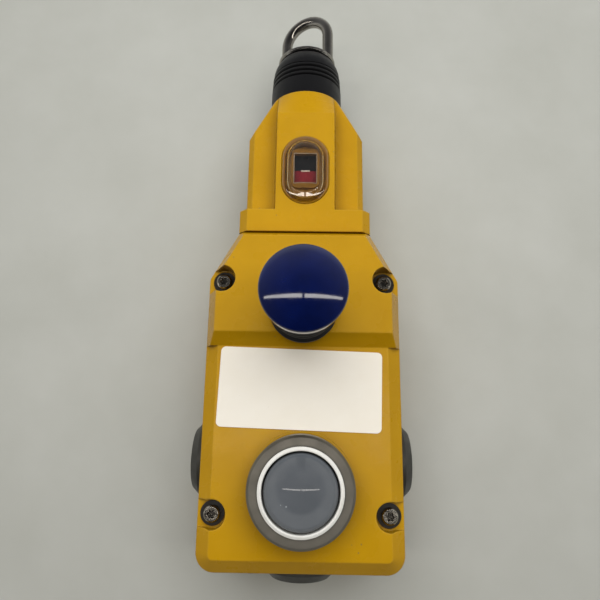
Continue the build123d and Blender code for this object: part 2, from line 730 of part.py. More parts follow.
def entry_places():
    """Outer face of each conduit entry, with local +Z pointing out of the housing."""
    return [
        Pos(-WALL_X, SIDE_ENTRY_Y, AXIS_HEIGHT) * Rot(0, -90, 0),
        Pos(WALL_X, SIDE_ENTRY_Y, AXIS_HEIGHT) * Rot(0, 90, 0),
        Pos(0, WALL_END_Y, AXIS_HEIGHT) * Rot(90, 0, 0),
    ]


def conduit_plug():
    """Blanking plug with a bevelled round head and a screwdriver slot."""
    top = SEAL_THICKNESS + PLUG_HEAD
    body = turned(
        [
            (0, -PLUG_SHANK_LENGTH),
            (ENTRY_RADIUS - RUNNING_GAP, -PLUG_SHANK_LENGTH),
            (ENTRY_RADIUS - RUNNING_GAP, SEAL_THICKNESS),
            (PLUG_RADIUS, SEAL_THICKNESS),
            (PLUG_RADIUS, top - PLUG_BEVEL),
            (PLUG_RADIUS - PLUG_BEVEL, top),
            (0, top),
        ]
    )
    slot = Pos(0, 0, top - PLUG_SLOT_DEPTH / 2) * Box(PLUG_SLOT_LENGTH, PLUG_SLOT_WIDTH, PLUG_SLOT_DEPTH)
    return body - slot


def plug_seals():
    """Sealing washer under each plug's head."""
    seal = ring_between(SEAL_RADIUS, ENTRY_RADIUS + FIT_GAP, 0, SEAL_THICKNESS)
    return [place * seal for place in entry_places()]


# Pull shaft and its guides

def pull_shaft():
    """Stainless shaft with a socket for the eye's stem and three cross holes."""
    body = shaft_cylinder(SHAFT_RADIUS, SHAFT_TAIL_Y, SHAFT_END_Y)
    socket_start = SHAFT_END_Y - EYE_STEM_LENGTH - HOLE_END_GAP
    body -= shaft_cylinder(EYE_STEM_RADIUS + RUNNING_GAP, socket_start, SHAFT_END_Y)
    for pin in shaft_pins():
        body -= pin
    return body


def shaft_pins():
    """Cross pins through the cam block, the latch block and the spring collar."""
    cam_pin_y = CAM_REAR_Y + CAM_LENGTH / 2
    latch_pin_y = latch_rear_y() + LATCH_PIN_SETBACK
    collar_pin_y = COLLAR_Y + COLLAR_THICKNESS / 2
    across = Rot(0, 90, 0)
    latch_pin = across * Cylinder(PIN_RADIUS, LATCH_WIDTH)
    collar_pin = across * Cylinder(PIN_RADIUS, COLLAR_RADIUS * COLLAR_PIN_SHARE)
    return [
        Pos(0, cam_pin_y, AXIS_HEIGHT) * Cylinder(PIN_RADIUS, 2 * CAM_HALF_HEIGHT),
        Pos(0, latch_pin_y, AXIS_HEIGHT) * latch_pin,
        Pos(0, collar_pin_y, AXIS_HEIGHT) * collar_pin,
    ]


def front_bush():
    """Flanged bush in the nose; its flange is the spring's front seat."""
    radius = SHAFT_RADIUS + BUSH_WALL
    body = shaft_cylinder(radius, SPRING_SEAT_Y - BUSH_FLANGE_THICKNESS, SPIGOT_Y)
    body += shaft_cylinder(BUSH_FLANGE_RADIUS, SPRING_SEAT_Y - BUSH_FLANGE_THICKNESS, SPRING_SEAT_Y)
    return body - shaft_cylinder(SHAFT_RADIUS + RUNNING_GAP, SPRING_SEAT_Y - BUSH_FLANGE_THICKNESS, SPIGOT_Y)


def rear_bush():
    """Flanged bush in the rear guide bracket."""
    front = REAR_BUSH_FRONT_Y
    rear = front - REAR_BUSH_LENGTH
    body = shaft_cylinder(SHAFT_RADIUS + BUSH_WALL, rear, front)
    body += shaft_cylinder(REAR_FLANGE_RADIUS, BRACKET_FRONT_Y, front)
    return body - shaft_cylinder(SHAFT_RADIUS + RUNNING_GAP, rear, front)


def bracket_screw_places():
    """Centres of the two screws in the bracket's foot."""
    y = (BRACKET_HEEL_Y + BRACKET_FRONT_Y - BRACKET_THICKNESS) / 2
    return [(side * BRACKET_SCREW_SPACING / 2, y) for side in (-1, 1)]


def guide_bracket():
    """Bent steel bracket that holds the rear bush."""
    half = BRACKET_WIDTH / 2
    foot_z = FLOOR + BRACKET_PAD_HEIGHT
    rear = BRACKET_FRONT_Y - BRACKET_THICKNESS
    body = block_between((-half, half), (rear, BRACKET_FRONT_Y), (foot_z, AXIS_HEIGHT + BRACKET_RISE))
    foot_y = (BRACKET_HEEL_Y, rear)
    body += block_between((-half, half), foot_y, (foot_z, foot_z + BRACKET_THICKNESS))
    body -= shaft_cylinder(SHAFT_RADIUS + BUSH_WALL + FIT_GAP, rear, BRACKET_FRONT_Y)
    for x, y in bracket_screw_places():
        body -= cylinder_between(BRACKET_SCREW_RADIUS + FIT_GAP, foot_z, foot_z + BRACKET_THICKNESS, x, y)
    return body


def bracket_screws():
    """Two screws that hold the bracket to the base."""
    seat = FLOOR + BRACKET_PAD_HEIGHT + BRACKET_THICKNESS
    length = seat - FLOOR / 2
    screw = pan_screw(BRACKET_SCREW_RADIUS, length, BRACKET_HEAD_RADIUS, BRACKET_HEAD_HEIGHT)
    return [Pos(x, y, seat) * screw for x, y in bracket_screw_places()]


def spring_collar():
    """Collar that carries the spring, with a flat on top for the flag's leg."""
    body = shaft_cylinder(COLLAR_RADIUS, COLLAR_Y, COLLAR_Y + COLLAR_THICKNESS)
    body -= shaft_cylinder(SHAFT_RADIUS + FIT_GAP, COLLAR_Y, COLLAR_Y + COLLAR_THICKNESS)
    half = FLAG_LEG_WIDTH / 2
    top = AXIS_HEIGHT + COLLAR_RADIUS
    body -= block_between((-half, half), (COLLAR_Y, COLLAR_Y + COLLAR_THICKNESS), (top - FLAG_DROP, top))
    return body - shaft_pins()[2]


def tension_spring():
    """Spring between the collar and the front bush."""
    start = COLLAR_Y + COLLAR_THICKNESS
    end = SPRING_SEAT_Y - BUSH_FLANGE_THICKNESS
    coil = coil_spring(SPRING_MEAN_RADIUS, SPRING_WIRE_RADIUS, end - start - 2 * RUNNING_GAP, SPRING_TURNS)
    return along_shaft(coil, start + RUNNING_GAP)


def cam_block():
    """Sliding cam whose two parallel slanted flanks work the contact plungers."""
    front = CAM_REAR_Y + CAM_LENGTH

    def flank(side, y):
        return side * CAM_HALF_WIDTH - CAM_SLOPE * (y - BLOCK_CENTRE_Y)

    plan = Polygon(
        (flank(-1, CAM_REAR_Y), CAM_REAR_Y),
        (flank(1, CAM_REAR_Y), CAM_REAR_Y),
        (flank(1, front), front),
        (flank(-1, front), front),
        align=None,
    )
    body = extrude(Pos(0, 0, AXIS_HEIGHT - CAM_HALF_HEIGHT) * plan, 2 * CAM_HALF_HEIGHT)
    body -= shaft_cylinder(SHAFT_RADIUS + FIT_GAP, CAM_REAR_Y, front)
    return body - shaft_pins()[0]


def latch_rear_y():
    """Rear face of the latch block."""
    return CAM_REAR_Y + CAM_LENGTH + LATCH_GAP


def slot_depth():
    """Depth of the latch slot: the stem's reach into it and its relief."""
    return KNOB_TRAVEL - STEM_GAP + STEM_SLOT_RELIEF


def latch_top():
    """Top of the latch block."""
    return AXIS_HEIGHT + SHAFT_RADIUS + LATCH_ROOF + slot_depth()


def latch_block():
    """Block with the slot that the reset stem's tip enters."""
    half = LATCH_WIDTH / 2
    rear = latch_rear_y()
    front = rear + LATCH_LENGTH
    body = block_between((-half, half), (rear, front), (AXIS_HEIGHT - CAM_HALF_HEIGHT, latch_top()))
    body -= shaft_cylinder(SHAFT_RADIUS + FIT_GAP, rear, front)
    half_slot = LATCH_SLOT_WIDTH / 2
    slot_rear = KNOB_Y - SHAFT_TRAVEL - STEM_RADIUS - LATCH_SLOT_GAP
    slot_z = (latch_top() - slot_depth(), latch_top())
    body -= block_between((-half_slot, half_slot), (slot_rear, front), slot_z)
    return body - shaft_pins()[1]


def eye_nut():
    """Hexagon nut on the shaft's front end, under the boot."""
    hexagon = RegularPolygon(NUT_ACROSS_FLATS / 2, 6, major_radius=False)
    front = SHAFT_END_Y - NUT_SETBACK + NUT_HEIGHT
    nut = along_shaft(extrude(hexagon, NUT_HEIGHT), front - NUT_HEIGHT)
    return nut - shaft_cylinder(SHAFT_RADIUS + FIT_GAP, front - NUT_HEIGHT, front)


def shaft_boot():
    """Rubber boot: sleeve on the nose's spigot, ribs and a narrower neck."""
    length = SHAFT_END_Y - NOSE_Y
    outer = [(BOOT_RADIUS, RUNNING_GAP), (BOOT_RADIUS, BOOT_SLEEVE_LENGTH)]
    for rib in range(BOOT_RIBS):
        base = BOOT_SLEEVE_LENGTH + rib * BOOT_RIB_PITCH
        crest = BOOT_RADIUS - (rib + 1) * BOOT_RIB_TAPER
        groove = crest + BOOT_RIB_TAPER - BOOT_RIB_DEPTH
        outer.append((groove, base + BOOT_RIB_PITCH * BOOT_GROOVE_SHARE))
        outer.append((crest, base + BOOT_RIB_PITCH * BOOT_CREST_SHARE))
        outer.append((crest, base + BOOT_RIB_PITCH))
    ribs_end = BOOT_SLEEVE_LENGTH + BOOT_RIBS * BOOT_RIB_PITCH
    outer.append((BOOT_NECK_RADIUS, (ribs_end + length) / 2))
    outer.append((BOOT_NECK_RADIUS, length))
    inner = [
        (SHAFT_RADIUS + BODY_GAP, length),
        (SHAFT_RADIUS + BODY_GAP, length - BOOT_LIP),
        (BOOT_NECK_RADIUS - BOOT_WALL, length - BOOT_LIP),
        (BOOT_NECK_RADIUS - BOOT_WALL, ribs_end),
        (SPIGOT_RADIUS - BOOT_WALL / 2, SPIGOT_LENGTH + RUNNING_GAP),
        (SPIGOT_RADIUS + FIT_GAP, SPIGOT_LENGTH + RUNNING_GAP),
        (SPIGOT_RADIUS + FIT_GAP, RUNNING_GAP),
    ]
    return along_shaft(turned(outer + inner), NOSE_Y)


def rope_eye():
    """Stainless eye: bent bar welded to a disc with a stem that turns in the shaft."""
    straight = EYE_DISC_THICKNESS + EYE_LEG_LENGTH
    left = Line((-EYE_MEAN_RADIUS, EYE_DISC_THICKNESS / 2), (-EYE_MEAN_RADIUS, straight))
    bend = ThreePointArc(
        (-EYE_MEAN_RADIUS, straight),
        (0, straight + EYE_MEAN_RADIUS),
        (EYE_MEAN_RADIUS, straight),
    )
    right = Line((EYE_MEAN_RADIUS, straight), (EYE_MEAN_RADIUS, EYE_DISC_THICKNESS / 2))
    path = left + bend + right
    section = Plane(origin=path @ 0, z_dir=path % 0) * Circle(EYE_BAR_RADIUS)
    bar = sweep(section, path=path)
    disc = turned(
        [
            (0, 0),
            (EYE_DISC_RADIUS - EYE_DISC_BACK_CHAMFER, 0),
            (EYE_DISC_RADIUS, EYE_DISC_BACK_CHAMFER),
            (EYE_DISC_RADIUS, EYE_DISC_THICKNESS - EYE_DISC_FRONT_CHAMFER),
            (EYE_DISC_RADIUS - EYE_DISC_FRONT_CHAMFER, EYE_DISC_THICKNESS),
            (0, EYE_DISC_THICKNESS),
        ]
    )
    stem = cylinder_between(EYE_STEM_RADIUS, -EYE_STEM_LENGTH, 0)
    eye = Rot(-90, 0, 0) * (disc + stem) + bar
    return Pos(0, EYE_DISC_Y, AXIS_HEIGHT) * Rot(0, EYE_TURN, 0) * eye


# Indicator

def window_prism(inset, low, high):
    """Upright prism on the window's oval plan, drawn in by the inset."""
    return loft_window(inset, low, inset, high)


def loft_window(low_inset, low, high_inset, high):
    """Tapered block between two drawn-in ovals of the window."""
    sections = []
    for inset, z in ((low_inset, low), (high_inset, high)):
        oval = SlotOverall(WINDOW_LENGTH - 2 * inset, WINDOW_WIDTH - 2 * inset)
        sections.append(Pos(0, WINDOW_CENTRE_Y, z) * Rot(0, 0, 90) * oval)
    return loft(sections, ruled=True)


def lens_z():
    """Underside of the lens."""
    return SNOUT_TOP - WINDOW_RECESS + WINDOW_SEAL_THICKNESS


def window_gasket():
    """Seal between the lens and the snout."""
    low = SNOUT_TOP - WINDOW_RECESS
    return window_prism(0, low, lens_z()) - window_prism(WINDOW_LEDGE, low, lens_z())


def window_lens():
    """Clear domed lens, hollow underneath."""
    rim_top = lens_z() + LENS_RIM
    body = window_prism(0, lens_z(), rim_top)
    body += loft_window(0, rim_top, LENS_DOME_INSET, rim_top + LENS_DOME)
    roof = rim_top + LENS_DOME - LENS_WALL
    return body - loft_window(LENS_FOOT, lens_z(), LENS_WALL + LENS_DOME_INSET, roof)


def frame_centre_y():
    """Centre of the indicator's frame, a little towards the snout's tip."""
    return WINDOW_CENTRE_Y + FRAME_CENTRE_OFFSET


def indicator_frame():
    """Plate over the flag's channel with a raised frame round its opening."""
    top = CHANNEL_TOP + FRAME_PLATE_THICKNESS
    body = window_prism(WINDOW_LEDGE + BODY_GAP, CHANNEL_TOP, top)
    centre = Pos(0, frame_centre_y(), 0)
    frame = RectangleRounded(FRAME_WIDTH, FRAME_LENGTH, FRAME_CORNER_RADIUS)
    body += extrude(centre * Pos(0, 0, top) * frame, FRAME_RISE)
    opening = centre * Pos(0, 0, CHANNEL_TOP) * Rectangle(FRAME_OPENING_WIDTH, FRAME_OPENING_LENGTH)
    return body - extrude(opening, FRAME_PLATE_THICKNESS + FRAME_RISE)


def flag_z():
    """Underside of the flag's plate."""
    return CHANNEL_TOP - FLAG_DROP


def flag_carrier():
    """Flag's plate with the leg that stands on the spring collar."""
    half = FLAG_WIDTH / 2
    leg = FLAG_LEG_WIDTH / 2
    leg_y = COLLAR_Y + (COLLAR_THICKNESS - FLAG_LEG_THICKNESS) / 2
    seat = AXIS_HEIGHT + COLLAR_RADIUS - FLAG_DROP
    plate_z = (flag_z(), flag_z() + FLAG_THICKNESS)
    body = block_between((-half, half), (COLLAR_Y, COLLAR_Y + FLAG_LENGTH), plate_z)
    return body + block_between((-leg, leg), (leg_y, leg_y + FLAG_LEG_THICKNESS), (seat, flag_z()))


def flag_tile(start, end):
    """Coloured tile on the flag, between two places along the shaft."""
    half = FLAG_WIDTH / 2 - BODY_GAP
    low = flag_z() + FLAG_THICKNESS
    return block_between((-half, half), (start, end), (low, low + TILE_THICKNESS))


# Contact blocks

def block_limits_x():
    """Inner and outer side of a contact block, measured from the middle."""
    cam_reach = CAM_HALF_WIDTH + CAM_SLOPE * (CAM_LENGTH + SHAFT_TRAVEL) / 2
    return cam_reach + BLOCK_CAM_GAP, INNER_X - BLOCK_WALL_GAP


def block_top():
    """Top of the two contact blocks beside the cam."""
    return AXIS_HEIGHT + BLOCK_RISE


def block_screw_places():
    """Centre of each hold-down screw and the height of its head's seat."""
    inner, outer = block_limits_x()
    inner_x = inner + BLOCK_SCREW_EDGE
    outer_x = outer - BLOCK_SCREW_EDGE
    button_x = BUTTON_BLOCK_WIDTH / 2 - BLOCK_SCREW_EDGE
    button_y = BUTTON_BLOCK_LENGTH / 2 - BLOCK_SCREW_EDGE
    places = []
    for side in (-1, 1):
        places.append((side * inner_x, BLOCK_CENTRE_Y - BLOCK_SCREW_OFFSET_Y, block_top()))
        places.append((side * outer_x, BLOCK_CENTRE_Y + BLOCK_SCREW_OFFSET_Y, block_top()))
        places.append((side * button_x, BUTTON_Y + side * button_y, button_block_top()))
    return places


def contact_block(side):
    """Contact block with terminal shelves at both ends and a bore for its plunger."""
    inner, outer = block_limits_x()
    x = sorted((side * inner, side * outer))
    half = BLOCK_LENGTH / 2
    rear = BLOCK_CENTRE_Y - half
    front = BLOCK_CENTRE_Y + half
    shelf = block_top() - TERMINAL_SHELF_DROP
    body = block_between(x, (rear, front), (FLOOR, block_top()))
    body -= block_between(x, (rear, rear + TERMINAL_SHELF_LENGTH), (shelf, block_top()))
    body -= block_between(x, (front - TERMINAL_SHELF_LENGTH, front), (shelf, block_top()))
    bore = Cylinder(PLUNGER_RADIUS + RUNNING_GAP, plunger_bore_end() - inner)
    bore_x = side * (inner + plunger_bore_end()) / 2
    body -= Pos(bore_x, BLOCK_CENTRE_Y, AXIS_HEIGHT) * Rot(0, 90, 0) * bore
    for x_place, y_place, seat in block_screw_places():
        body -= cylinder_between(BLOCK_SCREW_RADIUS + FIT_GAP, FLOOR, seat, x_place, y_place)
    hole_floor = shelf - TERMINAL_SHANK_LENGTH
    for x_place, y_place in terminal_places(side):
        body -= cylinder_between(TERMINAL_SHANK_RADIUS, hole_floor, shelf, x_place, y_place)
    return body


def terminal_places(side):
    """Centres of the terminal screws of one block."""
    inner, outer = block_limits_x()
    half = (BLOCK_LENGTH - TERMINAL_SHELF_LENGTH) / 2
    pitch = (outer - inner - 2 * TERMINAL_EDGE) / (TERMINALS_PER_SHELF - 1)
    row = [inner + TERMINAL_EDGE + i * pitch for i in range(TERMINALS_PER_SHELF)]
    return [(side * x, BLOCK_CENTRE_Y + end * half) for end in (-1, 1) for x in row]


def terminal_screws():
    """Terminal screws on the shelves of both blocks."""
    shelf = block_top() - TERMINAL_SHELF_DROP
    screw = pan_screw(
        TERMINAL_SHANK_RADIUS,
        TERMINAL_SHANK_LENGTH,
        TERMINAL_HEAD_RADIUS,
        TERMINAL_HEAD_HEIGHT,
    )
    return [Pos(x, y, shelf) * screw for side in (-1, 1) for x, y in terminal_places(side)]


def block_screws():
    """Long screws that hold the three contact blocks to the floor."""
    screws = []
    for x, y, seat in block_screw_places():
        length = seat - FLOOR + BLOCK_SCREW_BITE
        screw = pan_screw(BLOCK_SCREW_RADIUS, length, BLOCK_SCREW_HEAD_RADIUS, BLOCK_SCREW_HEAD_HEIGHT)
        screws.append(Pos(x, y, seat) * screw)
    return screws


def plunger_tip_x():
    """Centre of the plunger's round tip, a running gap off the cam's flank."""
    return CAM_HALF_WIDTH + (PLUNGER_RADIUS + RUNNING_GAP) * math.sqrt(1 + CAM_SLOPE**2)


def plunger_bore_end():
    """Blind end of the plunger's bore, just clear of the plunger pressed in."""
    return plunger_tip_x() + PLUNGER_LENGTH + CAM_SLOPE * SHAFT_TRAVEL + BODY_GAP


def contact_plunger(side):
    """Plunger with a round tip that rides on the cam's flank."""
    body = turned([(0, 0), (PLUNGER_RADIUS, 0), (PLUNGER_RADIUS, PLUNGER_LENGTH), (0, PLUNGER_LENGTH)])
    body += Sphere(PLUNGER_RADIUS)
    return Pos(side * plunger_tip_x(), BLOCK_CENTRE_Y, AXIS_HEIGHT) * Rot(0, side * 90, 0) * body


# Reset knob

def knob_rim_z():
    """Height of the knob's widest rim."""
    return PLATFORM_Z + KNOB_RIM_HEIGHT


def knob_under_z():
    """Underside of the knob's head."""
    return knob_rim_z() - KNOB_SKIRT


def stem_tip_z():
    """Lower tip of the reset stem at rest."""
    return latch_top() + STEM_GAP


def reset_knob():
    """Blue mushroom head, recessed underneath for its spring and stem."""
    under = knob_under_z()
    rim = knob_rim_z()
    dome_radius = (KNOB_RADIUS**2 + KNOB_DOME**2) / (2 * KNOB_DOME)
    dome_centre = rim + KNOB_DOME - dome_radius
    skirt = Circle(KNOB_RADIUS - KNOB_SKIRT_BEVEL)
    edge = Pos(0, 0, under) * loft([skirt, Pos(0, 0, KNOB_SKIRT / 2) * Circle(KNOB_RADIUS)])
    body = edge + cylinder_between(KNOB_RADIUS, under + KNOB_SKIRT / 2, rim)
    cap = Pos(0, 0, dome_centre) * Sphere(dome_radius)
    body += cap & cylinder_between(KNOB_RADIUS, rim, rim + KNOB_DOME)
    body -= cylinder_between(KNOB_RECESS_RADIUS, under, under + KNOB_RECESS_DEPTH)
    socket_floor = under + KNOB_RECESS_DEPTH
    body -= cylinder_between(STEM_RADIUS + FIT_GAP, socket_floor, socket_floor + STEM_SOCKET_DEPTH)
    return Pos(0, KNOB_Y, 0) * body


def knob_stem():
    """Steel stem from the knob down to the latch slot."""
    top = knob_under_z() + KNOB_RECESS_DEPTH + STEM_SOCKET_DEPTH
    return cylinder_between(STEM_RADIUS, stem_tip_z(), top, 0, KNOB_Y)


def guide_top():
    """Upper end of the stem's guide."""
    return PLATFORM_Z + GUIDE_FLANGE_THICKNESS


def stem_clip():
    """Clip on the stem that stops it under the guide."""
    top = guide_top() - GUIDE_LENGTH - BODY_GAP
    return ring_between(CLIP_RADIUS, STEM_RADIUS, top - CLIP_THICKNESS, top, 0, KNOB_Y)


def knob_guide():
    """Flanged guide bush of the stem, set in the lid's platform."""
    low = guide_top() - GUIDE_LENGTH
    body = cylinder_between(GUIDE_RADIUS, low, guide_top(), 0, KNOB_Y)
    body += cylinder_between(GUIDE_FLANGE_RADIUS, PLATFORM_Z, guide_top(), 0, KNOB_Y)
    return body - cylinder_between(STEM_RADIUS + RUNNING_GAP, low, guide_top(), 0, KNOB_Y)


def knob_guide_nut():
    """Hexagon nut of the guide, under the lid."""
    top = PLATFORM_Z - LID_WALL
    hexagon = RegularPolygon(GUIDE_NUT_FLATS / 2, 6, major_radius=False)
    nut = extrude(Pos(0, KNOB_Y, top - GUIDE_NUT_HEIGHT) * hexagon, GUIDE_NUT_HEIGHT)
    return nut - cylinder_between(GUIDE_RADIUS + FIT_GAP, top - GUIDE_NUT_HEIGHT, top, 0, KNOB_Y)


def knob_spring():
    """Return spring round the stem, from the guide to the knob's recess."""
    low = guide_top() + RUNNING_GAP
    high = knob_under_z() + KNOB_RECESS_DEPTH - RUNNING_GAP
    coil = coil_spring(KNOB_SPRING_RADIUS, KNOB_SPRING_WIRE, high - low, KNOB_SPRING_TURNS)
    return Pos(0, KNOB_Y, low) * coil


def knob_bellows():
    """Ribbed rubber bellows between the platform and the knob."""
    base = PLATFORM_Z
    start = base + BELLOWS_BASE_THICKNESS
    end = knob_under_z() - BODY_GAP
    fold = (end - start) / BELLOWS_FOLDS
    valley = BELLOWS_RADIUS - BELLOWS_FOLD_DEPTH
    outer = [(BELLOWS_BASE_RADIUS, base), (BELLOWS_BASE_RADIUS, start)]
    inner = []
    for i in range(BELLOWS_FOLDS):
        z = start + i * fold
        outer.append((valley, z + fold * BELLOWS_VALLEY_SHARE))
        outer.append((BELLOWS_RADIUS, z + fold * BELLOWS_CREST_SHARE))
        outer.append((BELLOWS_RADIUS, z + fold * BELLOWS_CREST_END_SHARE))
        inner.append((valley - BELLOWS_WALL, z + fold * BELLOWS_VALLEY_SHARE))
        inner.append((BELLOWS_RADIUS - BELLOWS_WALL, z + fold * BELLOWS_INNER_CREST_SHARE))
    outer.append((valley, end))
    inner.append((valley - BELLOWS_WALL, end))
    foot = [
        (GUIDE_FLANGE_RADIUS + BODY_GAP, start),
        (GUIDE_FLANGE_RADIUS + BODY_GAP, base),
    ]
    return Pos(0, KNOB_Y, 0) * turned(outer + inner[::-1] + foot)


# Grey push button

def bezel_z():
    """Underside of the bezel."""
    return PAD_Z + BUTTON_SEAL_THICKNESS


def bezel_top():
    """Top face of the bezel."""
    return bezel_z() + BEZEL_HEIGHT


def cap_top():
    """Top of the button's cap at rest."""
    return bezel_top() + RING_PROUD + CAP_PROUD


def button_seal():
    """Seal between the bezel and the lid's pad."""
    outer = BEZEL_RADIUS - BUTTON_SEAL_SETBACK
    return ring_between(outer, BARREL_RADIUS + FIT_GAP, PAD_Z, bezel_z(), 0, BUTTON_Y)


def button_bezel():
    """Satin metal bezel round the button."""
    body = turned(
        [
            (BEZEL_RING_SEAT, bezel_z()),
            (BEZEL_RADIUS, bezel_z()),
            (BEZEL_RADIUS, bezel_top() - BEZEL_CHAMFER),
            (BEZEL_RADIUS - BEZEL_CHAMFER, bezel_top()),
            (BEZEL_RING_SEAT, bezel_top()),
        ]
    )
    return Pos(0, BUTTON_Y, 0) * body


def button_ring():
    """Polished ring pressed into the bezel, standing slightly proud."""
    low = bezel_z() + BARREL_FLANGE
    high = bezel_top() + RING_PROUD
    radius = BEZEL_RING_SEAT - FIT_GAP
    body = turned(
        [
            (RING_INNER_RADIUS, low),
            (radius, low),
            (radius, high - RING_CHAMFER),
            (radius - RING_CHAMFER, high),
            (RING_INNER_RADIUS, high),
        ]
    )
    return Pos(0, BUTTON_Y, 0) * body


def button_body():
    """Barrel of the button through the lid, with its flange inside the bezel."""
    low = bezel_z() - BARREL_DEPTH
    high = bezel_z() + BARREL_FLANGE
    body = cylinder_between(BARREL_RADIUS, low, high, 0, BUTTON_Y)
    body += cylinder_between(BEZEL_RING_SEAT - FIT_GAP, bezel_z(), high, 0, BUTTON_Y)
    return body - cylinder_between(BUTTON_PLUNGER_RADIUS + RUNNING_GAP, low, high, 0, BUTTON_Y)


def button_locknut():
    """Round nut of the barrel, under the lid."""
    top = PANEL_Z - LID_WALL
    outer = BARREL_RADIUS + BUTTON_NUT_WALL
    inner = BARREL_RADIUS + FIT_GAP
    return ring_between(outer, inner, top - BUTTON_NUT_HEIGHT, top, 0, BUTTON_Y)


def cap_inner_z():
    """Underside of the cap's top wall."""
    return cap_top() - CAP_ROOF


def button_cap():
    """Grey cap with a softened edge and a slightly domed top."""
    top = cap_top()
    under = [
        (0, cap_inner_z()),
        (CAP_RADIUS - CAP_WALL, cap_inner_z()),
        (CAP_RADIUS - CAP_WALL, top - CAP_SKIRT),
        (CAP_RADIUS, top - CAP_SKIRT),
    ]
    edge = [(CAP_RADIUS - inset, top - drop) for inset, drop in CAP_EDGE]
    return Pos(0, BUTTON_Y, 0) * turned(under + edge + [(0, top)])


def plunger_tip_z():
    """Lower tip of the button's plunger at rest."""
    return bezel_z() - BARREL_DEPTH - BUTTON_PLUNGER_REACH


def button_plunger():
    """Plunger from the cap down through the barrel."""
    return cylinder_between(BUTTON_PLUNGER_RADIUS, plunger_tip_z(), cap_inner_z(), 0, BUTTON_Y)


def button_spring():
    """Return spring under the cap."""
    low = bezel_z() + BARREL_FLANGE + RUNNING_GAP
    length = cap_inner_z() - RUNNING_GAP - low
    coil = coil_spring(BUTTON_SPRING_RADIUS, BUTTON_SPRING_WIRE, length, BUTTON_SPRING_TURNS)
    return Pos(0, BUTTON_Y, low) * coil


def button_block_top():
    """Top of the button's contact block, just clear of the pressed plunger."""
    return plunger_tip_z() - CAP_TRAVEL - BODY_GAP


def contact_block_button():
    """Contact block on the floor under the button."""
    half_x = BUTTON_BLOCK_WIDTH / 2
    half_y = BUTTON_BLOCK_LENGTH / 2
    y = (BUTTON_Y - half_y, BUTTON_Y + half_y)
    body = block_between((-half_x, half_x), y, (FLOOR, button_block_top()))
    for x_place, y_place, seat in block_screw_places():
        body -= cylinder_between(BLOCK_SCREW_RADIUS + FIT_GAP, FLOOR, seat, x_place, y_place)
    return body


def write_part(name, shape):
    """Writes one node, from one solid or a list of like solids."""
    if isinstance(shape, list):
        shape = Compound(children=[piece.solid() for piece in shape])
    export_step(shape, f"parts/{name}.step")


def flag_tiles():
    """The flag's three tiles, from the front: black, red and green."""
    black_end = frame_centre_y() + FRAME_OPENING_LENGTH / 2 + BODY_GAP
    black_start = black_end - TILE_LENGTH
    red_start = black_start - TILE_LENGTH
    green_start = red_start - GREEN_TILE_LENGTH
    return {
        "flag_tile_black": flag_tile(black_start, black_end),
        "flag_tile_red": flag_tile(red_start, black_start),
        "flag_tile_green": flag_tile(green_start, red_start),
    }


def all_parts():
    """Every node of the switch by name."""
    parts = {
        "housing_base": housing_base(),
        "lid": lid(),
        "lid_gasket": lid_gasket(),
        "lid_screws": lid_screws(),
        "lid_screw_washers": lid_screw_washers(),
        "rating_label": rating_label(),
        "earth_washer": earth_washer(),
        "earth_screw": earth_screw(),
        "plug_seals": plug_seals(),
        "pull_shaft": pull_shaft(),
        "shaft_pins": shaft_pins(),
        "front_bush": front_bush(),
        "rear_bush": rear_bush(),
        "guide_bracket": guide_bracket(),
        "bracket_screws": bracket_screws(),
        "spring_collar": spring_collar(),
        "tension_spring": tension_spring(),
        "cam_block": cam_block(),
        "latch_block": latch_block(),
        "eye_nut": eye_nut(),
        "shaft_boot": shaft_boot(),
        "rope_eye": rope_eye(),
        "window_gasket": window_gasket(),
        "window_lens": window_lens(),
        "indicator_frame": indicator_frame(),
        "flag_carrier": flag_carrier(),
        "terminal_screws": terminal_screws(),
        "block_screws": block_screws(),
        "contact_block_button": contact_block_button(),
        "reset_knob": reset_knob(),
        "knob_stem": knob_stem(),
        "stem_clip": stem_clip(),
        "knob_guide": knob_guide(),
        "knob_guide_nut": knob_guide_nut(),
        "knob_spring": knob_spring(),
        "knob_bellows": knob_bellows(),
        "button_seal": button_seal(),
        "button_bezel": button_bezel(),
        "button_ring": button_ring(),
        "button_body": button_body(),
        "button_locknut": button_locknut(),
        "button_cap": button_cap(),
        "button_plunger": button_plunger(),
        "button_spring": button_spring(),
    }
    parts.update(flag_tiles())
    for name, place in zip(("left", "right", "end"), entry_places()):
        parts[f"conduit_plug_{name}"] = place * conduit_plug()
    for name, side in (("left", -1), ("right", 1)):
        parts[f"contact_block_{name}"] = contact_block(side)
        parts[f"contact_plunger_{name}"] = contact_plunger(side)
    return parts


os.makedirs("parts", exist_ok=True)
for node_name, node_shape in all_parts().items():
    write_part(node_name, node_shape)
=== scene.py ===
"""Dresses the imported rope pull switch: new turned and moulded pieces, a finish for every
piece, and the camera, lamps and floor. Lengths are metres, and sizes in fields are mm."""

import logging
import math
from dataclasses import dataclass, replace
from enum import Enum

import bmesh
import bpy
from mathutils import Matrix, Vector


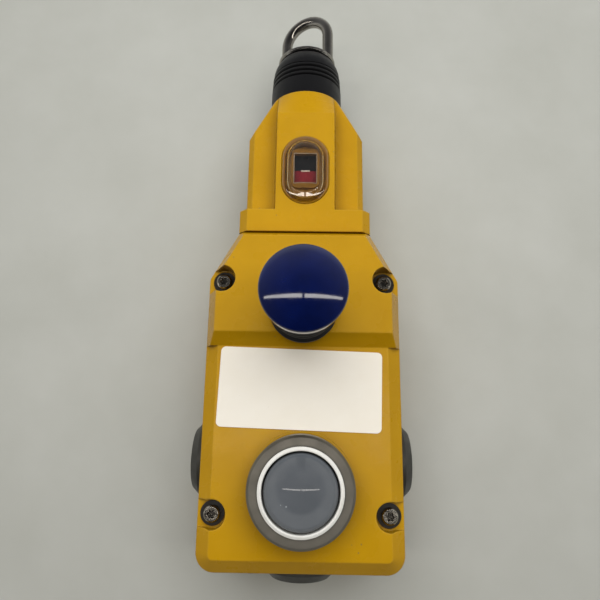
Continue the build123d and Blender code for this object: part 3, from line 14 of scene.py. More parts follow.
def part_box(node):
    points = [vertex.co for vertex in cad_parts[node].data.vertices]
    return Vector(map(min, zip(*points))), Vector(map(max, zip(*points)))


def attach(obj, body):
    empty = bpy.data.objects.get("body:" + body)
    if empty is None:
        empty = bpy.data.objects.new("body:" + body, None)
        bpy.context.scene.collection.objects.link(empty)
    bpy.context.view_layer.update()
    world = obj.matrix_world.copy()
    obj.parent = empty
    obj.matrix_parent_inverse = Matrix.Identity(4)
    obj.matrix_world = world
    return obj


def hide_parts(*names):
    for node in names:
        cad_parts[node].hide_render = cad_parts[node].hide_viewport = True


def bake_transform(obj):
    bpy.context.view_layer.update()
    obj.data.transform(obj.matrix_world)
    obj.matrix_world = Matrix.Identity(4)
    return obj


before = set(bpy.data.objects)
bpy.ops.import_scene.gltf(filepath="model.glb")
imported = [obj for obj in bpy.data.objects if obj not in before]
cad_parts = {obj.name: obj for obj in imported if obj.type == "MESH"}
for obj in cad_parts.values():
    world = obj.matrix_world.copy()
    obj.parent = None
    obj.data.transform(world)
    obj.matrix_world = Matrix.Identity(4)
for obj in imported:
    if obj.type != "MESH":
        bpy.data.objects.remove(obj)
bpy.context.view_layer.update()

MM = 0.001
SHARP_ANGLE = math.radians(35)
WELD = 1e-7
FULL_TURN = 2 * math.pi
NOISE_LOW, NOISE_HIGH = 0.3, 0.7  # where most of a noise texture's values lie
DUSTY_PATCH = 0.62  # dust lies where the patches' noise is above this
LEAST_ROUGHNESS = 0.02

Tree = bpy.types.NodeTree
Socket = bpy.types.NodeSocket
Node = bpy.types.Node
Triple = tuple[float, float, float]

log = logging.getLogger("rope_switch")


class Body(Enum):
    """The bodies of the frame that new pieces ride on."""

    HOUSING = "housing"
    SHAFT = "shaft"
    KNOB = "knob"
    BUTTON = "button"


class Stand(Enum):
    """Which way a turned piece's heights run."""

    UPRIGHT = "upright"
    ALONG_SHAFT = "along the shaft"


def linear(hex_colour: str) -> tuple[float, float, float, float]:
    """Turns an sRGB hex colour into linear light.

    Args:
        hex_colour: Six hex digits after a hash, such as "#c89711".

    Returns:
        Red, green, blue and an alpha of 1.
    """
    parts = [int(hex_colour[i : i + 2], 16) / 255 for i in (1, 3, 5)]
    light = [c / 12.92 if c <= 0.04045 else ((c + 0.055) / 1.055) ** 2.4 for c in parts]
    return (*light, 1.0)


def add_node(
    tree: Tree, kind: str, settings: dict | None = None, links: dict | None = None
) -> Node:
    """Adds a shader node with its settings and links.

    Args:
        tree: The node tree that gets it.
        kind: Blender's name of the node type.
        settings: Values by socket name or number, by property name, or under "stops"
            the (place, hex colour) pairs of a colour ramp.
        links: Output sockets of other nodes, by this node's socket name or number.

    Returns:
        The new node.
    """
    node = tree.nodes.new(kind)
    for key, value in (settings or {}).items():
        if key == "stops":
            ramp = node.color_ramp.elements
            while len(ramp) < len(value):
                ramp.new(0.5)
            for stop, (place, colour) in zip(ramp, value):
                stop.position = place
                stop.color = linear(colour)
        elif isinstance(key, int) or key in node.inputs:
            node.inputs[key].default_value = value
        else:
            setattr(node, key, value)
    for key, source in (links or {}).items():
        tree.links.new(source, node.inputs[key])
    return node


def per_mm(size_mm: float) -> float:
    """A pattern's scale on Object coordinates for features of this size."""
    return 1 / (size_mm * MM)


@dataclass(frozen=True)
class Finish:
    """What every finish has: its name, two close colours, its gloss and its edges.

    A finish's colour drifts between colour and shade in patches of patch_mm, as pigment,
    handling and dust do, and its roughness drifts by rough_drift. Corners are rounded by
    edge_mm in the shading, and the fine grain of grain_mm is grain_depth_mm deep.
    """

    name: str
    colour: str
    shade: str
    roughness: float
    rough_drift: float = 0.08
    patch_mm: float = 9.0
    grain_mm: float = 0.5
    grain_depth_mm: float = 0.01
    edge_mm: float = 0.25
    dust: str = "#b9b4a6"
    dust_share: float = 0.0
    dust_mm: float = 0.9

    def material(self) -> bpy.types.Material:
        """Builds the material, unless it is there already.

        Returns:
            The material.
        """
        found = bpy.data.materials.get(self.name)
        if found:
            return found
        made = bpy.data.materials.new(self.name)
        made.use_nodes = True
        made.diffuse_color = linear(self.colour)
        tree = made.node_tree
        tree.nodes.clear()
        place = add_node(tree, "ShaderNodeTexCoord").outputs["Object"]
        colour = self.colouring(tree, place)
        surface = add_node(
            tree,
            "ShaderNodeBsdfPrincipled",
            self.optics(),
            {
                "Base Color": colour,
                "Roughness": self.gloss(tree, place),
                "Normal": self.relief(tree, place),
            },
        )
        shader = self.extras(tree, place, surface)
        add_node(tree, "ShaderNodeOutputMaterial", links={"Surface": shader})
        return made

    def optics(self) -> dict:
        """Values that are the same all over, for the shader's own sockets."""
        return {"IOR": 1.5}

    def colouring(self, tree: Tree, place: Socket) -> Socket:
        """Drifts between the two colours, with specks of dust.

        Args:
            tree: The material's node tree.
            place: The Object coordinates.

        Returns:
            The colour socket.
        """
        patches = add_node(
            tree,
            "ShaderNodeTexNoise",
            {"Scale": per_mm(self.patch_mm), "Detail": 4.0, "Roughness": 0.6},
            {"Vector": place},
        )
        drift = add_node(
            tree,
            "ShaderNodeValToRGB",
            {"stops": [(NOISE_LOW, self.shade), (NOISE_HIGH, self.colour)]},
            {"Fac": patches.outputs["Fac"]},
        )
        if not self.dust_share:
            return drift.outputs["Color"]
        cells = add_node(
            tree,
            "ShaderNodeTexVoronoi",
            {"Scale": per_mm(self.dust_mm), "Randomness": 1.0},
            {"Vector": place},
        )
        specks = add_node(
            tree,
            "ShaderNodeMapRange",
            {"From Min": self.dust_share, "From Max": self.dust_share * 0.4},
            {"Value": cells.outputs["Distance"]},
        )
        where = add_node(
            tree,
            "ShaderNodeMath",
            {"operation": "GREATER_THAN", 1: DUSTY_PATCH},
            {0: patches.outputs["Fac"]},
        )
        share = add_node(
            tree,
            "ShaderNodeMath",
            {"operation": "MULTIPLY"},
            {0: specks.outputs["Result"], 1: where.outputs["Value"]},
        )
        mixed = add_node(
            tree,
            "ShaderNodeMix",
            {"data_type": "RGBA", 7: linear(self.dust)},
            {0: share.outputs["Value"], 6: drift.outputs["Color"]},
        )
        return mixed.outputs[2]

    def gloss(self, tree: Tree, place: Socket) -> Socket:
        """Drifts the roughness, as wiped and handled patches do.

        Args:
            tree: The material's node tree.
            place: The Object coordinates.

        Returns:
            The roughness socket.
        """
        smears = add_node(
            tree,
            "ShaderNodeTexNoise",
            {"Scale": per_mm(self.patch_mm * 0.45), "Detail": 3.0},
            {"Vector": place},
        )
        return add_node(
            tree,
            "ShaderNodeMapRange",
            {
                "From Min": NOISE_LOW,
                "From Max": NOISE_HIGH,
                "To Min": max(LEAST_ROUGHNESS, self.roughness - self.rough_drift),
                "To Max": self.roughness + self.rough_drift,
            },
            {"Value": smears.outputs["Fac"]},
        ).outputs["Result"]

    def relief(self, tree: Tree, place: Socket) -> Socket:
        """Fine grain on softened corners.

        Args:
            tree: The material's node tree.
            place: The Object coordinates.

        Returns:
            The normal socket.
        """
        corners = add_node(tree, "ShaderNodeBevel", {"samples": 4, "Radius": self.edge_mm * MM})
        return add_node(
            tree,
            "ShaderNodeBump",
            {"Strength": 1.0, "Distance": self.grain_depth_mm * MM},
            {"Height": self.grain(tree, place), "Normal": corners.outputs["Normal"]},
        ).outputs["Normal"]

    def grain(self, tree: Tree, place: Socket) -> Socket:
        """The height of the fine grain, from 0 to 1.

        Args:
            tree: The material's node tree.
            place: The Object coordinates.

        Returns:
            The height socket.
        """
        return add_node(
            tree,
            "ShaderNodeTexNoise",
            {"Scale": per_mm(self.grain_mm), "Detail": 2.0},
            {"Vector": place},
        ).outputs["Fac"]

    def paint_shade_by_openness(
        self, tree: Tree, base: Socket, tint: str, nook_mm: float, samples: int, share: dict
    ) -> Socket:
        """Tints a colour by how open the surface lies: painted shade where walls close in, and
        rubber greyer on open crests where bloomed.

        Args:
            tree: The material's node tree.
            base: The colour to tint.
            tint: The hex colour to tint it with.
            nook_mm: How far away a neighbouring wall still counts.
            samples: How many rays feel for walls.
            share: The range that turns openness, 0 to 1, into the tint's share.

        Returns:
            The colour socket.
        """
        nook = add_node(
            tree, "ShaderNodeAmbientOcclusion", {"samples": samples, "Distance": nook_mm * MM}
        )
        amount = add_node(tree, "ShaderNodeMapRange", share, {"Value": nook.outputs["AO"]})
        return add_node(
            tree,
            "ShaderNodeMix",
            {"data_type": "RGBA", 7: linear(tint)},
            {0: amount.outputs["Result"], 6: base},
        ).outputs[2]

    def extras(self, tree: Tree, place: Socket, surface: Node) -> Socket:
        """Adds what only some finishes have.

        Args:
            tree: The material's node tree.
            place: The Object coordinates.
            surface: The main shader's node.

        Returns:
            The shader socket for the output.
        """
        return surface.outputs["BSDF"]


@dataclass(frozen=True)
class PaintedCasting(Finish):
    """Powder-coated aluminium die casting: satin, faintly dimpled like orange peel, paler on
    outer corners with coat wear and a painted highlight, and darker in the inner ones with
    painted shade."""

    edge_wear_and_highlight: str = "#dcb245"
    painted_nook_shade: str = "#5f4104"
    pale_edge_mm: float = 1.0
    nook_mm: float = 8.0

    def optics(self) -> dict:
        """An acrylic or polyester coat over metal."""
        return {"IOR": 1.5, "Specular IOR Level": 0.24}

    def colouring(self, tree: Tree, place: Socket) -> Socket:
        """Base colour, with coat wear and painted highlight on outer corners, painted shade in
        crevices.

        Args:
            tree: The material's node tree.
            place: The Object coordinates.

        Returns:
            The colour socket.
        """
        base = super().colouring(tree, place)
        # Pale outer corners: partly coat wear, partly a painted highlight where edges catch
        # light.
        corners = add_node(tree, "ShaderNodeBevel", {"samples": 4, "Radius": self.pale_edge_mm * MM})
        face = add_node(tree, "ShaderNodeNewGeometry")
        likeness = add_node(
            tree,
            "ShaderNodeVectorMath",
            {"operation": "DOT_PRODUCT"},
            {0: corners.outputs["Normal"], 1: face.outputs["Normal"]},
        )
        edge = add_node(
            tree,
            "ShaderNodeMapRange",
            {"From Min": 0.995, "From Max": 0.86, "To Max": 0.5},
            {"Value": likeness.outputs["Value"]},
        )
        paler = add_node(
            tree,
            "ShaderNodeMix",
            {"data_type": "RGBA", 7: linear(self.edge_wear_and_highlight)},
            {0: edge.outputs["Result"], 6: base},
        )
        # Painted shade: darker where walls close in, as in the pockets, at steps and under the
        # knob.
        share = {"From Min": 0.3, "From Max": 0.9, "To Min": 0.5, "To Max": 0.0}
        return self.paint_shade_by_openness(tree, paler.outputs[2], self.painted_nook_shade, self.nook_mm, 8, share)


@dataclass(frozen=True)
class Moulded(Finish):
    """Injection-moulded thermoplastic: an even colour with a soft sheen and the fine
    spark-eroded texture of its tool."""

    ior: float = 1.53
    coat: float = 0.0

    def optics(self) -> dict:
        """The plastic's own index, and a clear skin where the tool is polished."""
        return {"IOR": self.ior, "Coat Weight": self.coat, "Coat Roughness": 0.04}


@dataclass(frozen=True)
class Rubber(Finish):
    """Moulded nitrile or EPDM rubber: matt and dark, greyer where bloomed on its crests, and
    black in its folds with painted shade.
    """

    bloom_and_painted_shade: str = "#151517"
    nook_mm: float = 3.0

    def optics(self) -> dict:
        """Low gloss, with a little sheen where the rubber has bloomed."""
        return {"IOR": 1.47, "Specular IOR Level": 0.35, "Sheen Weight": 0.05}

    def colouring(self, tree: Tree, place: Socket) -> Socket:
        """Black in the folds as painted shade, and greyer where rubber is open to the air and
        bloomed.

        Args:
            tree: The material's node tree.
            place: The Object coordinates.

        Returns:
            The colour socket.
        """
        base = super().colouring(tree, place)
        # Open crests take the greyer tone; the folds stay black as painted shade.
        share = {"From Min": 0.45, "From Max": 0.9, "To Max": 0.55}
        return self.paint_shade_by_openness(tree, base, self.bloom_and_painted_shade, self.nook_mm, 6, share)


@dataclass(frozen=True)
class Metal(Finish):
    """Bare or plated metal, with fine scratches that cross at random, and dirt and painted
    shade darkening its recesses."""

    grime_and_painted_shade: str = "#2a2723"
    dark_recess_reach_mm: float = 1.2

    def optics(self) -> dict:
        """A metal keeps the default index."""
        return {"Metallic": 1.0}

    def colouring(self, tree: Tree, place: Socket) -> Socket:
        """The metal's colour, darkened deep inside sockets and slots by dirt and painted shade.

        Args:
            tree: The material's node tree.
            place: The Object coordinates.

        Returns:
            The colour socket.
        """
        base = super().colouring(tree, place)
        # Dark recesses: partly dirt, partly painted shade.
        share = {"From Min": 0.9, "From Max": 0.45, "To Max": 0.9}
        return self.paint_shade_by_openness(tree, base, self.grime_and_painted_shade, self.dark_recess_reach_mm, 6, share)

    def grain(self, tree: Tree, place: Socket) -> Socket:
        """Fine scratches: a noise stretched thin along a slanted line.

        Args:
            tree: The material's node tree.
            place: The Object coordinates.

        Returns:
            The height socket.
        """
        slanted = add_node(
            tree,
            "ShaderNodeMapping",
            {"Rotation": (0.3, 0.2, 0.7), "Scale": (1.0, 0.12, 0.5)},
            {"Vector": place},
        )
        return add_node(
            tree,
            "ShaderNodeTexNoise",
            {"Scale": per_mm(self.grain_mm), "Detail": 3.0},
            {"Vector": slanted.outputs["Vector"]},
        ).outputs["Fac"]


@dataclass(frozen=True)
class TurnedMetal(Metal):
    """Metal turned on a lathe: rings of tool marks round an upright axis at centre_mm."""

    centre_mm: Triple = (0.0, 0.0, 0.0)
    ring_mm: float = 0.5

    def grain(self, tree: Tree, place: Socket) -> Socket:
        """Rings round the axis, broken up by a little noise.

        Args:
            tree: The material's node tree.
            place: The Object coordinates.

        Returns:
            The height socket.
        """
        centred = add_node(
            tree,
            "ShaderNodeMapping",
            {"Location": tuple(-c * MM for c in self.centre_mm)},
            {"Vector": place},
        )
        return add_node(
            tree,
            "ShaderNodeTexWave",
            {
                "wave_type": "RINGS",
                "rings_direction": "Z",
                "Scale": per_mm(self.ring_mm) / 20,
                "Distortion": 0.6,
                "Detail": 3.0,
                "Detail Scale": 2.0,
            },
            {"Vector": centred.outputs["Vector"]},
        ).outputs["Color"]


@dataclass(frozen=True)
class ClearPlastic(Finish):
    """Clear moulded polycarbonate: glossy, with faint smears on its face."""

    def optics(self) -> dict:
        """Polycarbonate bends light strongly, and its hard coat mirrors lamps brightly."""
        return {
            "IOR": 1.585,
            "Transmission Weight": 1.0,
            "Specular IOR Level": 0.6,
            "Coat Weight": 1.0,
            "Coat IOR": 1.75,
            "Coat Roughness": 0.03,
        }

    def extras(self, tree: Tree, place: Socket, surface: Node) -> Socket:
        """Lets the lamps' light through to what lies under the window.

        Args:
            tree: The material's node tree.
            place: The Object coordinates.
            surface: The main shader's node.

        Returns:
            The shader socket for the output.
        """
        path = add_node(tree, "ShaderNodeLightPath")
        through = add_node(tree, "ShaderNodeBsdfTransparent", {"Color": linear(self.colour)})
        return add_node(
            tree,
            "ShaderNodeMixShader",
            links={
                0: path.outputs["Is Shadow Ray"],
                1: surface.outputs["BSDF"],
                2: through.outputs["BSDF"],
            },
        ).outputs["Shader"]


@dataclass(frozen=True)
class DomedCap(Moulded):
    """Grey moulded lens plastic with a clear skin, in which lamps show as on a small
    dome, because its underside bulges at the middle."""

    dome_centre_mm: Triple = (0.0, 0.0, 0.0)

    def extras(self, tree: Tree, place: Socket, surface: Node) -> Socket:
        """Turns the clear skin's normal to that of the dome below it.

        Args:
            tree: The material's node tree.
            place: The Object coordinates.
            surface: The main shader's node.

        Returns:
            The shader socket for the output.
        """
        outward = add_node(
            tree,
            "ShaderNodeVectorMath",
            {"operation": "SUBTRACT", 1: tuple(c * MM for c in self.dome_centre_mm)},
            {0: place},
        )
        unit = add_node(
            tree,
            "ShaderNodeVectorMath",
            {"operation": "NORMALIZE"},
            {0: outward.outputs["Vector"]},
        )
        tree.links.new(unit.outputs["Vector"], surface.inputs["Coat Normal"])
        return surface.outputs["BSDF"]


# Finishes of the outside

YELLOW_CASTING = PaintedCasting(
    "powder_coated_die_casting_yellow",
    colour="#c5950a",
    shade="#bb8c05",
    roughness=0.29,
    rough_drift=0.05,
    patch_mm=26.0,
    grain_mm=0.55,
    grain_depth_mm=0.012,
    edge_mm=0.95,
    dust="#8f7a4a",
    dust_share=0.16,
    dust_mm=2.6,
)
# Pale coat of the lip round the button seat: partly coat wear, partly a painted highlight where
# its edge catches light.
WORN_LIP_PAINTED_HIGHLIGHT = Moulded(
    "worn_powder_coat_edge_painted_highlight",
    colour="#eccb62",
    shade="#dcb548",
    roughness=0.25,
    patch_mm=5.0,
    grain_mm=0.4,
    grain_depth_mm=0.004,
    edge_mm=0.2,
)
BLACK_RUBBER = Rubber(
    "moulded_rubber_black",
    colour="#0e0e10",
    shade="#08080a",
    roughness=0.48,
    grain_mm=0.35,
    grain_depth_mm=0.008,
    edge_mm=0.3,
    dust="#3c3a37",
    dust_share=0.1,
    dust_mm=1.6,
)
BLUE_KNOB = Moulded(
    "polished_nylon_blue",
    colour="#03124a",
    shade="#020d3c",
    roughness=0.09,
    rough_drift=0.025,
    coat=0.6,
    grain_mm=5.0,
    grain_depth_mm=0.02,
    edge_mm=0.35,
    dust="#3a4674",
    dust_share=0.07,
    dust_mm=2.0,
)
GREY_CAP = DomedCap(
    "moulded_lens_plastic_grey",
    colour="#565b61",
    shade="#50555b",
    roughness=0.45,
    grain_mm=0.6,
    grain_depth_mm=0.006,
    edge_mm=0.35,
    dust="#a9adb2",
    dust_share=0.13,
    dust_mm=3.2,
    coat=1.0,
    dome_centre_mm=(0.0, -40.0, 58.5),
)
PLUG_GREY = Moulded(
    "moulded_polyamide_grey",
    colour="#3a3934",
    shade="#31302c",
    roughness=0.46,
    grain_mm=0.45,
    grain_depth_mm=0.02,
    edge_mm=0.4,
    dust="#7b776c",
    dust_share=0.15,
    dust_mm=1.8,
)
POLISHED_STEEL = Metal(
    "polished_stainless_steel",
    colour="#a5a09a",
    shade="#8f8b85",
    roughness=0.17,
    rough_drift=0.05,
    grain_mm=0.9,
    grain_depth_mm=0.004,
    edge_mm=0.3,
)
SATIN_BEZEL = TurnedMetal(
    "satin_nickel_plate",
    colour="#98948b",
    shade="#87837b",
    roughness=0.52,
    rough_drift=0.06,
    patch_mm=14.0,
    grain_depth_mm=0.004,
    edge_mm=0.5,
    centre_mm=(0.0, -40.2, 0.0),
    ring_mm=0.6,
)
BRIGHT_RING = Moulded(
    "enamelled_metal_ring_white",
    colour="#f1f0ea",
    shade="#e6e4dc",
    roughness=0.3,
    rough_drift=0.04,
    patch_mm=7.0,
    grain_mm=0.4,
    grain_depth_mm=0.002,
    edge_mm=0.2,
    dust="#a9a69c",
    dust_share=0.08,
    dust_mm=1.2,
)
CLEAR_WINDOW = ClearPlastic(
    "moulded_polycarbonate_clear",
    colour="#fbf8ee",
    shade="#f4efdf",
    roughness=0.03,
    rough_drift=0.015,
    grain_mm=3.0,
    grain_depth_mm=0.01,
    edge_mm=0.2,
)
LABEL_FILM = Moulded(
    "printed_polyester_film_white",
    colour="#fbf5e8",
    shade="#f8f1e2",
    roughness=0.38,
    rough_drift=0.05,
    patch_mm=18.0,
    grain_mm=0.3,
    grain_depth_mm=0.002,
    edge_mm=0.12,
    dust="#b8b1a0",
    dust_share=0.1,
    dust_mm=3.0,
)
LID_SCREW_STEEL = Metal(
    "pressed_stainless_steel",
    colour="#b3ada3",
    shade="#a19b91",
    roughness=0.22,
    rough_drift=0.05,
    patch_mm=6.0,
    grain_mm=0.7,
    grain_depth_mm=0.0015,
    edge_mm=0.45,
    # Wide reach: dirt and painted shade darken the screw sockets.
    dark_recess_reach_mm=2.5,
)
WASHER_BLACK = Moulded(
    "moulded_washer_nylon_black",
    colour="#1d1811",
    shade="#16120c",
    roughness=0.5,
    grain_mm=0.4,
    grain_depth_mm=0.008,
    edge_mm=0.2,
)

# Finishes of the works inside

ZINC_STEEL = Metal(
    "zinc_plated_steel",
    colour="#b7babd",
    shade="#a3a7a8",
    roughness=0.33,
    patch_mm=5.0,
    grain_mm=0.6,
    grain_depth_mm=0.004,
)
GROUND_STEEL = Metal(
    "ground_stainless_bar",
    colour="#bdbab5",
    shade="#aeaba6",
    roughness=0.22,
    grain_mm=0.4,
    grain_depth_mm=0.003,
)
SPRING_WIRE = Metal(
    "drawn_spring_wire",
    colour="#8d8f92",
    shade="#6f7175",
    roughness=0.3,
    grain_mm=0.5,
    grain_depth_mm=0.003,
    edge_mm=0.1,
)
NICKEL_BRASS = Metal(
    "nickel_plated_brass",
    colour="#c9bd9c",
    shade="#b5a886",
    roughness=0.28,
    grain_mm=0.4,
    grain_depth_mm=0.003,
)
ACETAL_WHITE = Moulded(
    "machined_acetal_natural",
    colour="#e2dfd4",
    shade="#d8d4c7",
    roughness=0.4,
    grain_mm=0.5,
    grain_depth_mm=0.006,
    ior=1.48,
)
BLOCK_BLACK = Moulded(
    "moulded_polyester_black",
    colour="#2a2b2c",
    shade="#222324",
    roughness=0.46,
    grain_mm=0.4,
    grain_depth_mm=0.012,
)
PLUNGER_RED = Moulded(
    "moulded_acetal_red",
    colour="#a5261f",
    shade="#96211b",
    roughness=0.35,
    grain_mm=0.4,
    grain_depth_mm=0.006,
    ior=1.48,
)
FRAME_AMBER = Moulded(
    "moulded_frame_amber_brown",
    colour="#8a6420",
    shade="#7a571a",
    roughness=0.4,
    grain_mm=0.4,
    grain_depth_mm=0.008,
    edge_mm=0.3,
)
SEAL_AMBER = Rubber(
    "moulded_silicone_amber",
    colour="#9c6f0c",
    shade="#8b6209",
    roughness=0.42,
    grain_mm=0.4,
    grain_depth_mm=0.006,
    edge_mm=0.2,
    bloom_and_painted_shade="#96701e",
)
TILE_BLACK = Moulded(
    "printed_tile_black",
    colour="#10131f",
    shade="#0c0e18",
    roughness=0.35,
    grain_mm=0.3,
    grain_depth_mm=0.003,
    edge_mm=0.1,
)
TILE_RED = replace(TILE_BLACK, name="printed_tile_red", colour="#8a1f33", shade="#7a1a2c")
TILE_GREEN = replace(TILE_BLACK, name="printed_tile_green", colour="#2f8a4a", shade="#277a40")
MARK_WHITE = Moulded(
    "printed_ink_white",
    colour="#d8d2d6",
    shade="#c9c3c8",
    roughness=0.45,
    grain_mm=0.2,
    grain_depth_mm=0.002,
    edge_mm=0.05,
)
LINE_GREY = replace(MARK_WHITE, name="printed_ink_grey", colour="#9d8e88", shade="#8f817b")

NODE_FINISHES = {
    YELLOW_CASTING: ["housing_base", "lid"],
    BLACK_RUBBER: ["lid_gasket", "button_seal", "plug_seals"],
    SEAL_AMBER: ["window_gasket"],
    LID_SCREW_STEEL: ["lid_screws"],
    WASHER_BLACK: ["lid_screw_washers"],
    LABEL_FILM: ["rating_label"],
    NICKEL_BRASS: ["earth_washer", "earth_screw", "terminal_screws"],
    PLUG_GREY: ["conduit_plug_left", "conduit_plug_right", "conduit_plug_end"],
    GROUND_STEEL: ["pull_shaft", "shaft_pins", "eye_nut", "knob_stem"],
    ZINC_STEEL: ["guide_bracket", "bracket_screws", "spring_collar", "block_screws"],
    SPRING_WIRE: ["stem_clip"],
    POLISHED_STEEL: ["rope_eye"],
    SATIN_BEZEL: ["button_bezel"],
    ACETAL_WHITE: ["front_bush", "rear_bush", "cam_block", "latch_block", "button_plunger"],
    BLOCK_BLACK: [
        "contact_block_left",
        "contact_block_right",
        "contact_block_button",
        "button_body",
        "button_locknut",
        "knob_guide",
        "knob_guide_nut",
        "flag_carrier",
    ],
    PLUNGER_RED: ["contact_plunger_left", "contact_plunger_right"],
    FRAME_AMBER: ["indicator_frame"],
    TILE_BLACK: ["flag_tile_black"],
    TILE_RED: ["flag_tile_red"],
    TILE_GREEN: ["flag_tile_green"],
}


def finish_piece(bm: bmesh.types.BMesh, name: str, finish: Finish) -> bpy.types.Object:
    """Turns a bmesh into a shaded, dressed object.

    Args:
        bm: The mesh in metres, in the row frame. It is freed.
        name: The piece's name.
        finish: Its finish.

    Returns:
        The new object, at the origin.
    """
    bmesh.ops.remove_doubles(bm, verts=bm.verts[:], dist=WELD)
    mesh = bpy.data.meshes.new(name)
    bm.to_mesh(mesh)
    bm.free()
    mesh.polygons.foreach_set("use_smooth", [True] * len(mesh.polygons))
    mesh.set_sharp_from_angle(angle=SHARP_ANGLE)
    mesh.materials.append(finish.material())
    piece = bpy.data.objects.new(name, mesh)
    bpy.context.scene.collection.objects.link(piece)
    return piece


def spin_round(bm: bmesh.types.BMesh, steps: int) -> None:
    """Spins a profile of edges once round the Z axis.

    Args:
        bm: The mesh that holds the profile and nothing else.
        steps: How many steps the turn has.
    """
    bmesh.ops.spin(
        bm,
        geom=bm.verts[:] + bm.edges[:],
        cent=(0, 0, 0),
        axis=(0, 0, 1),
        dvec=(0, 0, 0),
        angle=FULL_TURN,
        steps=steps,
        use_merge=True,
        use_duplicate=False,
    )
    bmesh.ops.remove_doubles(bm, verts=bm.verts[:], dist=WELD)


@dataclass
class Turning:
    """A piece turned on a lathe from a closed outline.

    corners holds (radius, height, rounding) in mm, in order round the outline. Two
    neighbours on the axis close the piece there.
    """

    name: str
    corners: list[Triple]
    place_mm: Triple
    stand: Stand
    finish: Finish
    steps: int = 128
    round_segments: int = 5

    def build(self) -> bpy.types.Object:
        """Rounds the outline's corners, spins it and puts it in place.

        Returns:
            The finished piece.
        """
        bm = bmesh.new()
        points = [bm.verts.new((r * MM, 0, h * MM)) for r, h, _ in self.corners]
        bm.faces.new(points)
        for rounding in sorted({c[2] for c in self.corners if c[2]}):
            chosen = [v for v, c in zip(points, self.corners) if c[2] == rounding]
            bmesh.ops.bevel(
                bm,
                geom=chosen,
                affect="VERTICES",
                offset=rounding * MM,
                offset_type="OFFSET",
                segments=self.round_segments,
                profile=0.5,
                material=-1,
            )
        bmesh.ops.delete(bm, geom=bm.faces[:], context="FACES_ONLY")
        on_axis = [e for e in bm.edges if all(abs(v.co.x) < WELD for v in e.verts)]
        bmesh.ops.delete(bm, geom=on_axis, context="EDGES")
        spin_round(bm, self.steps)
        bmesh.ops.recalc_face_normals(bm, faces=bm.faces[:])
        if self.stand is Stand.ALONG_SHAFT:
            bmesh.ops.rotate(
                bm,
                verts=bm.verts[:],
                cent=(0, 0, 0),
                matrix=Matrix.Rotation(-math.pi / 2, 3, "X"),
            )
        bmesh.ops.translate(bm, verts=bm.verts[:], vec=Vector(self.place_mm) * MM)
        return finish_piece(bm, self.name, self.finish)


@dataclass
class ShaftBoot:
    """Rubber boot between the nose and the eye: a smooth sleeve, three ribs that step
    down, and a neck with a round shoulder at the eye's disc."""

    axis_z: float = 28.0
    start_y: float = 154.8
    sleeve_end: float = 10.1
    sleeve_radius: float = 19.35
    rib_pitch: float = 2.75
    rib_count: int = 3
    rib_drop: float = 0.16
    groove_depth: float = 1.3
    groove_share: float = 0.42
    groove_steps: Triple = (0.45, 0.75, 1.35)
    neck_steps: Triple = (-0.55, -0.3, 0.1)
    neck_start: float = 18.9
    neck_radius: float = 18.5
    shoulder_at: float = 22.6
    shoulder_radius: float = 18.2
    shoulder_round: float = 1.7
    top_radius: float = 15.2
    top_wall: float = 1.3
    crown_width: float = 1.4
    crown_drop: float = 2.3
    length: float = 27.95
    wall: float = 2.2
    spigot_radius: float = 16.05
    spigot_length: float = 8.35
    bore: float = 5.35
    round_mm: float = 0.28

    def outline(self) -> list[Triple]:
        """Corners of the wall, from the sleeve's foot outside to its foot inside.

        Returns:
            Each corner's radius, height and rounding, in mm.
        """
        soft = self.round_mm
        corners = [(self.sleeve_radius, 0.0, 0.15), (self.sleeve_radius, self.sleeve_end, soft)]
        for rib in range(self.rib_count):
            crest = self.sleeve_radius - (rib + 1) * self.rib_drop
            low = self.sleeve_end + rib * self.rib_pitch
            gap = self.rib_pitch * self.groove_share
            floor = crest - self.groove_depth
            floor_from, floor_to, crest_from = (low + gap * s for s in self.groove_steps)
            corners.append((floor, floor_from, 0.0))
            corners.append((floor, floor_to, 0.0))
            corners.append((crest, crest_from, soft))
            corners.append((crest - self.rib_drop, low + self.rib_pitch, soft))
        floor = self.neck_radius - self.groove_depth
        floor_from, floor_to, neck_from = (self.neck_start + s for s in self.neck_steps)
        under_top = self.length - self.top_wall
        crown = self.top_radius + self.crown_width
        corners += [
            (floor, floor_from, 0.0),
            (floor, floor_to, 0.0),
            (self.neck_radius, neck_from, soft),
            (self.shoulder_radius, self.shoulder_at, self.shoulder_round),
            (crown, self.length - self.crown_drop, self.shoulder_round * 0.6),
            (self.top_radius, self.length, 0.3),
            (self.bore, self.length, 0.0),
            (self.bore, under_top, 0.0),
            (self.top_radius - self.wall, under_top, 0.0),
            (self.top_radius - self.wall, self.neck_start, 0.0),
            (self.spigot_radius - 1.0, self.spigot_length, 0.0),
            (self.spigot_radius, self.spigot_length, 0.0),
            (self.spigot_radius, 0.0, 0.0),
        ]
        return corners

    def build(self) -> None:
        """Makes the boot in place of the CAD node."""
        boot = Turning(
            "boot_ribbed",
            self.outline(),
            (0, self.start_y, self.axis_z),
            Stand.ALONG_SHAFT,
            BLACK_RUBBER,
        ).build()
        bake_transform(boot)
        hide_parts("shaft_boot")


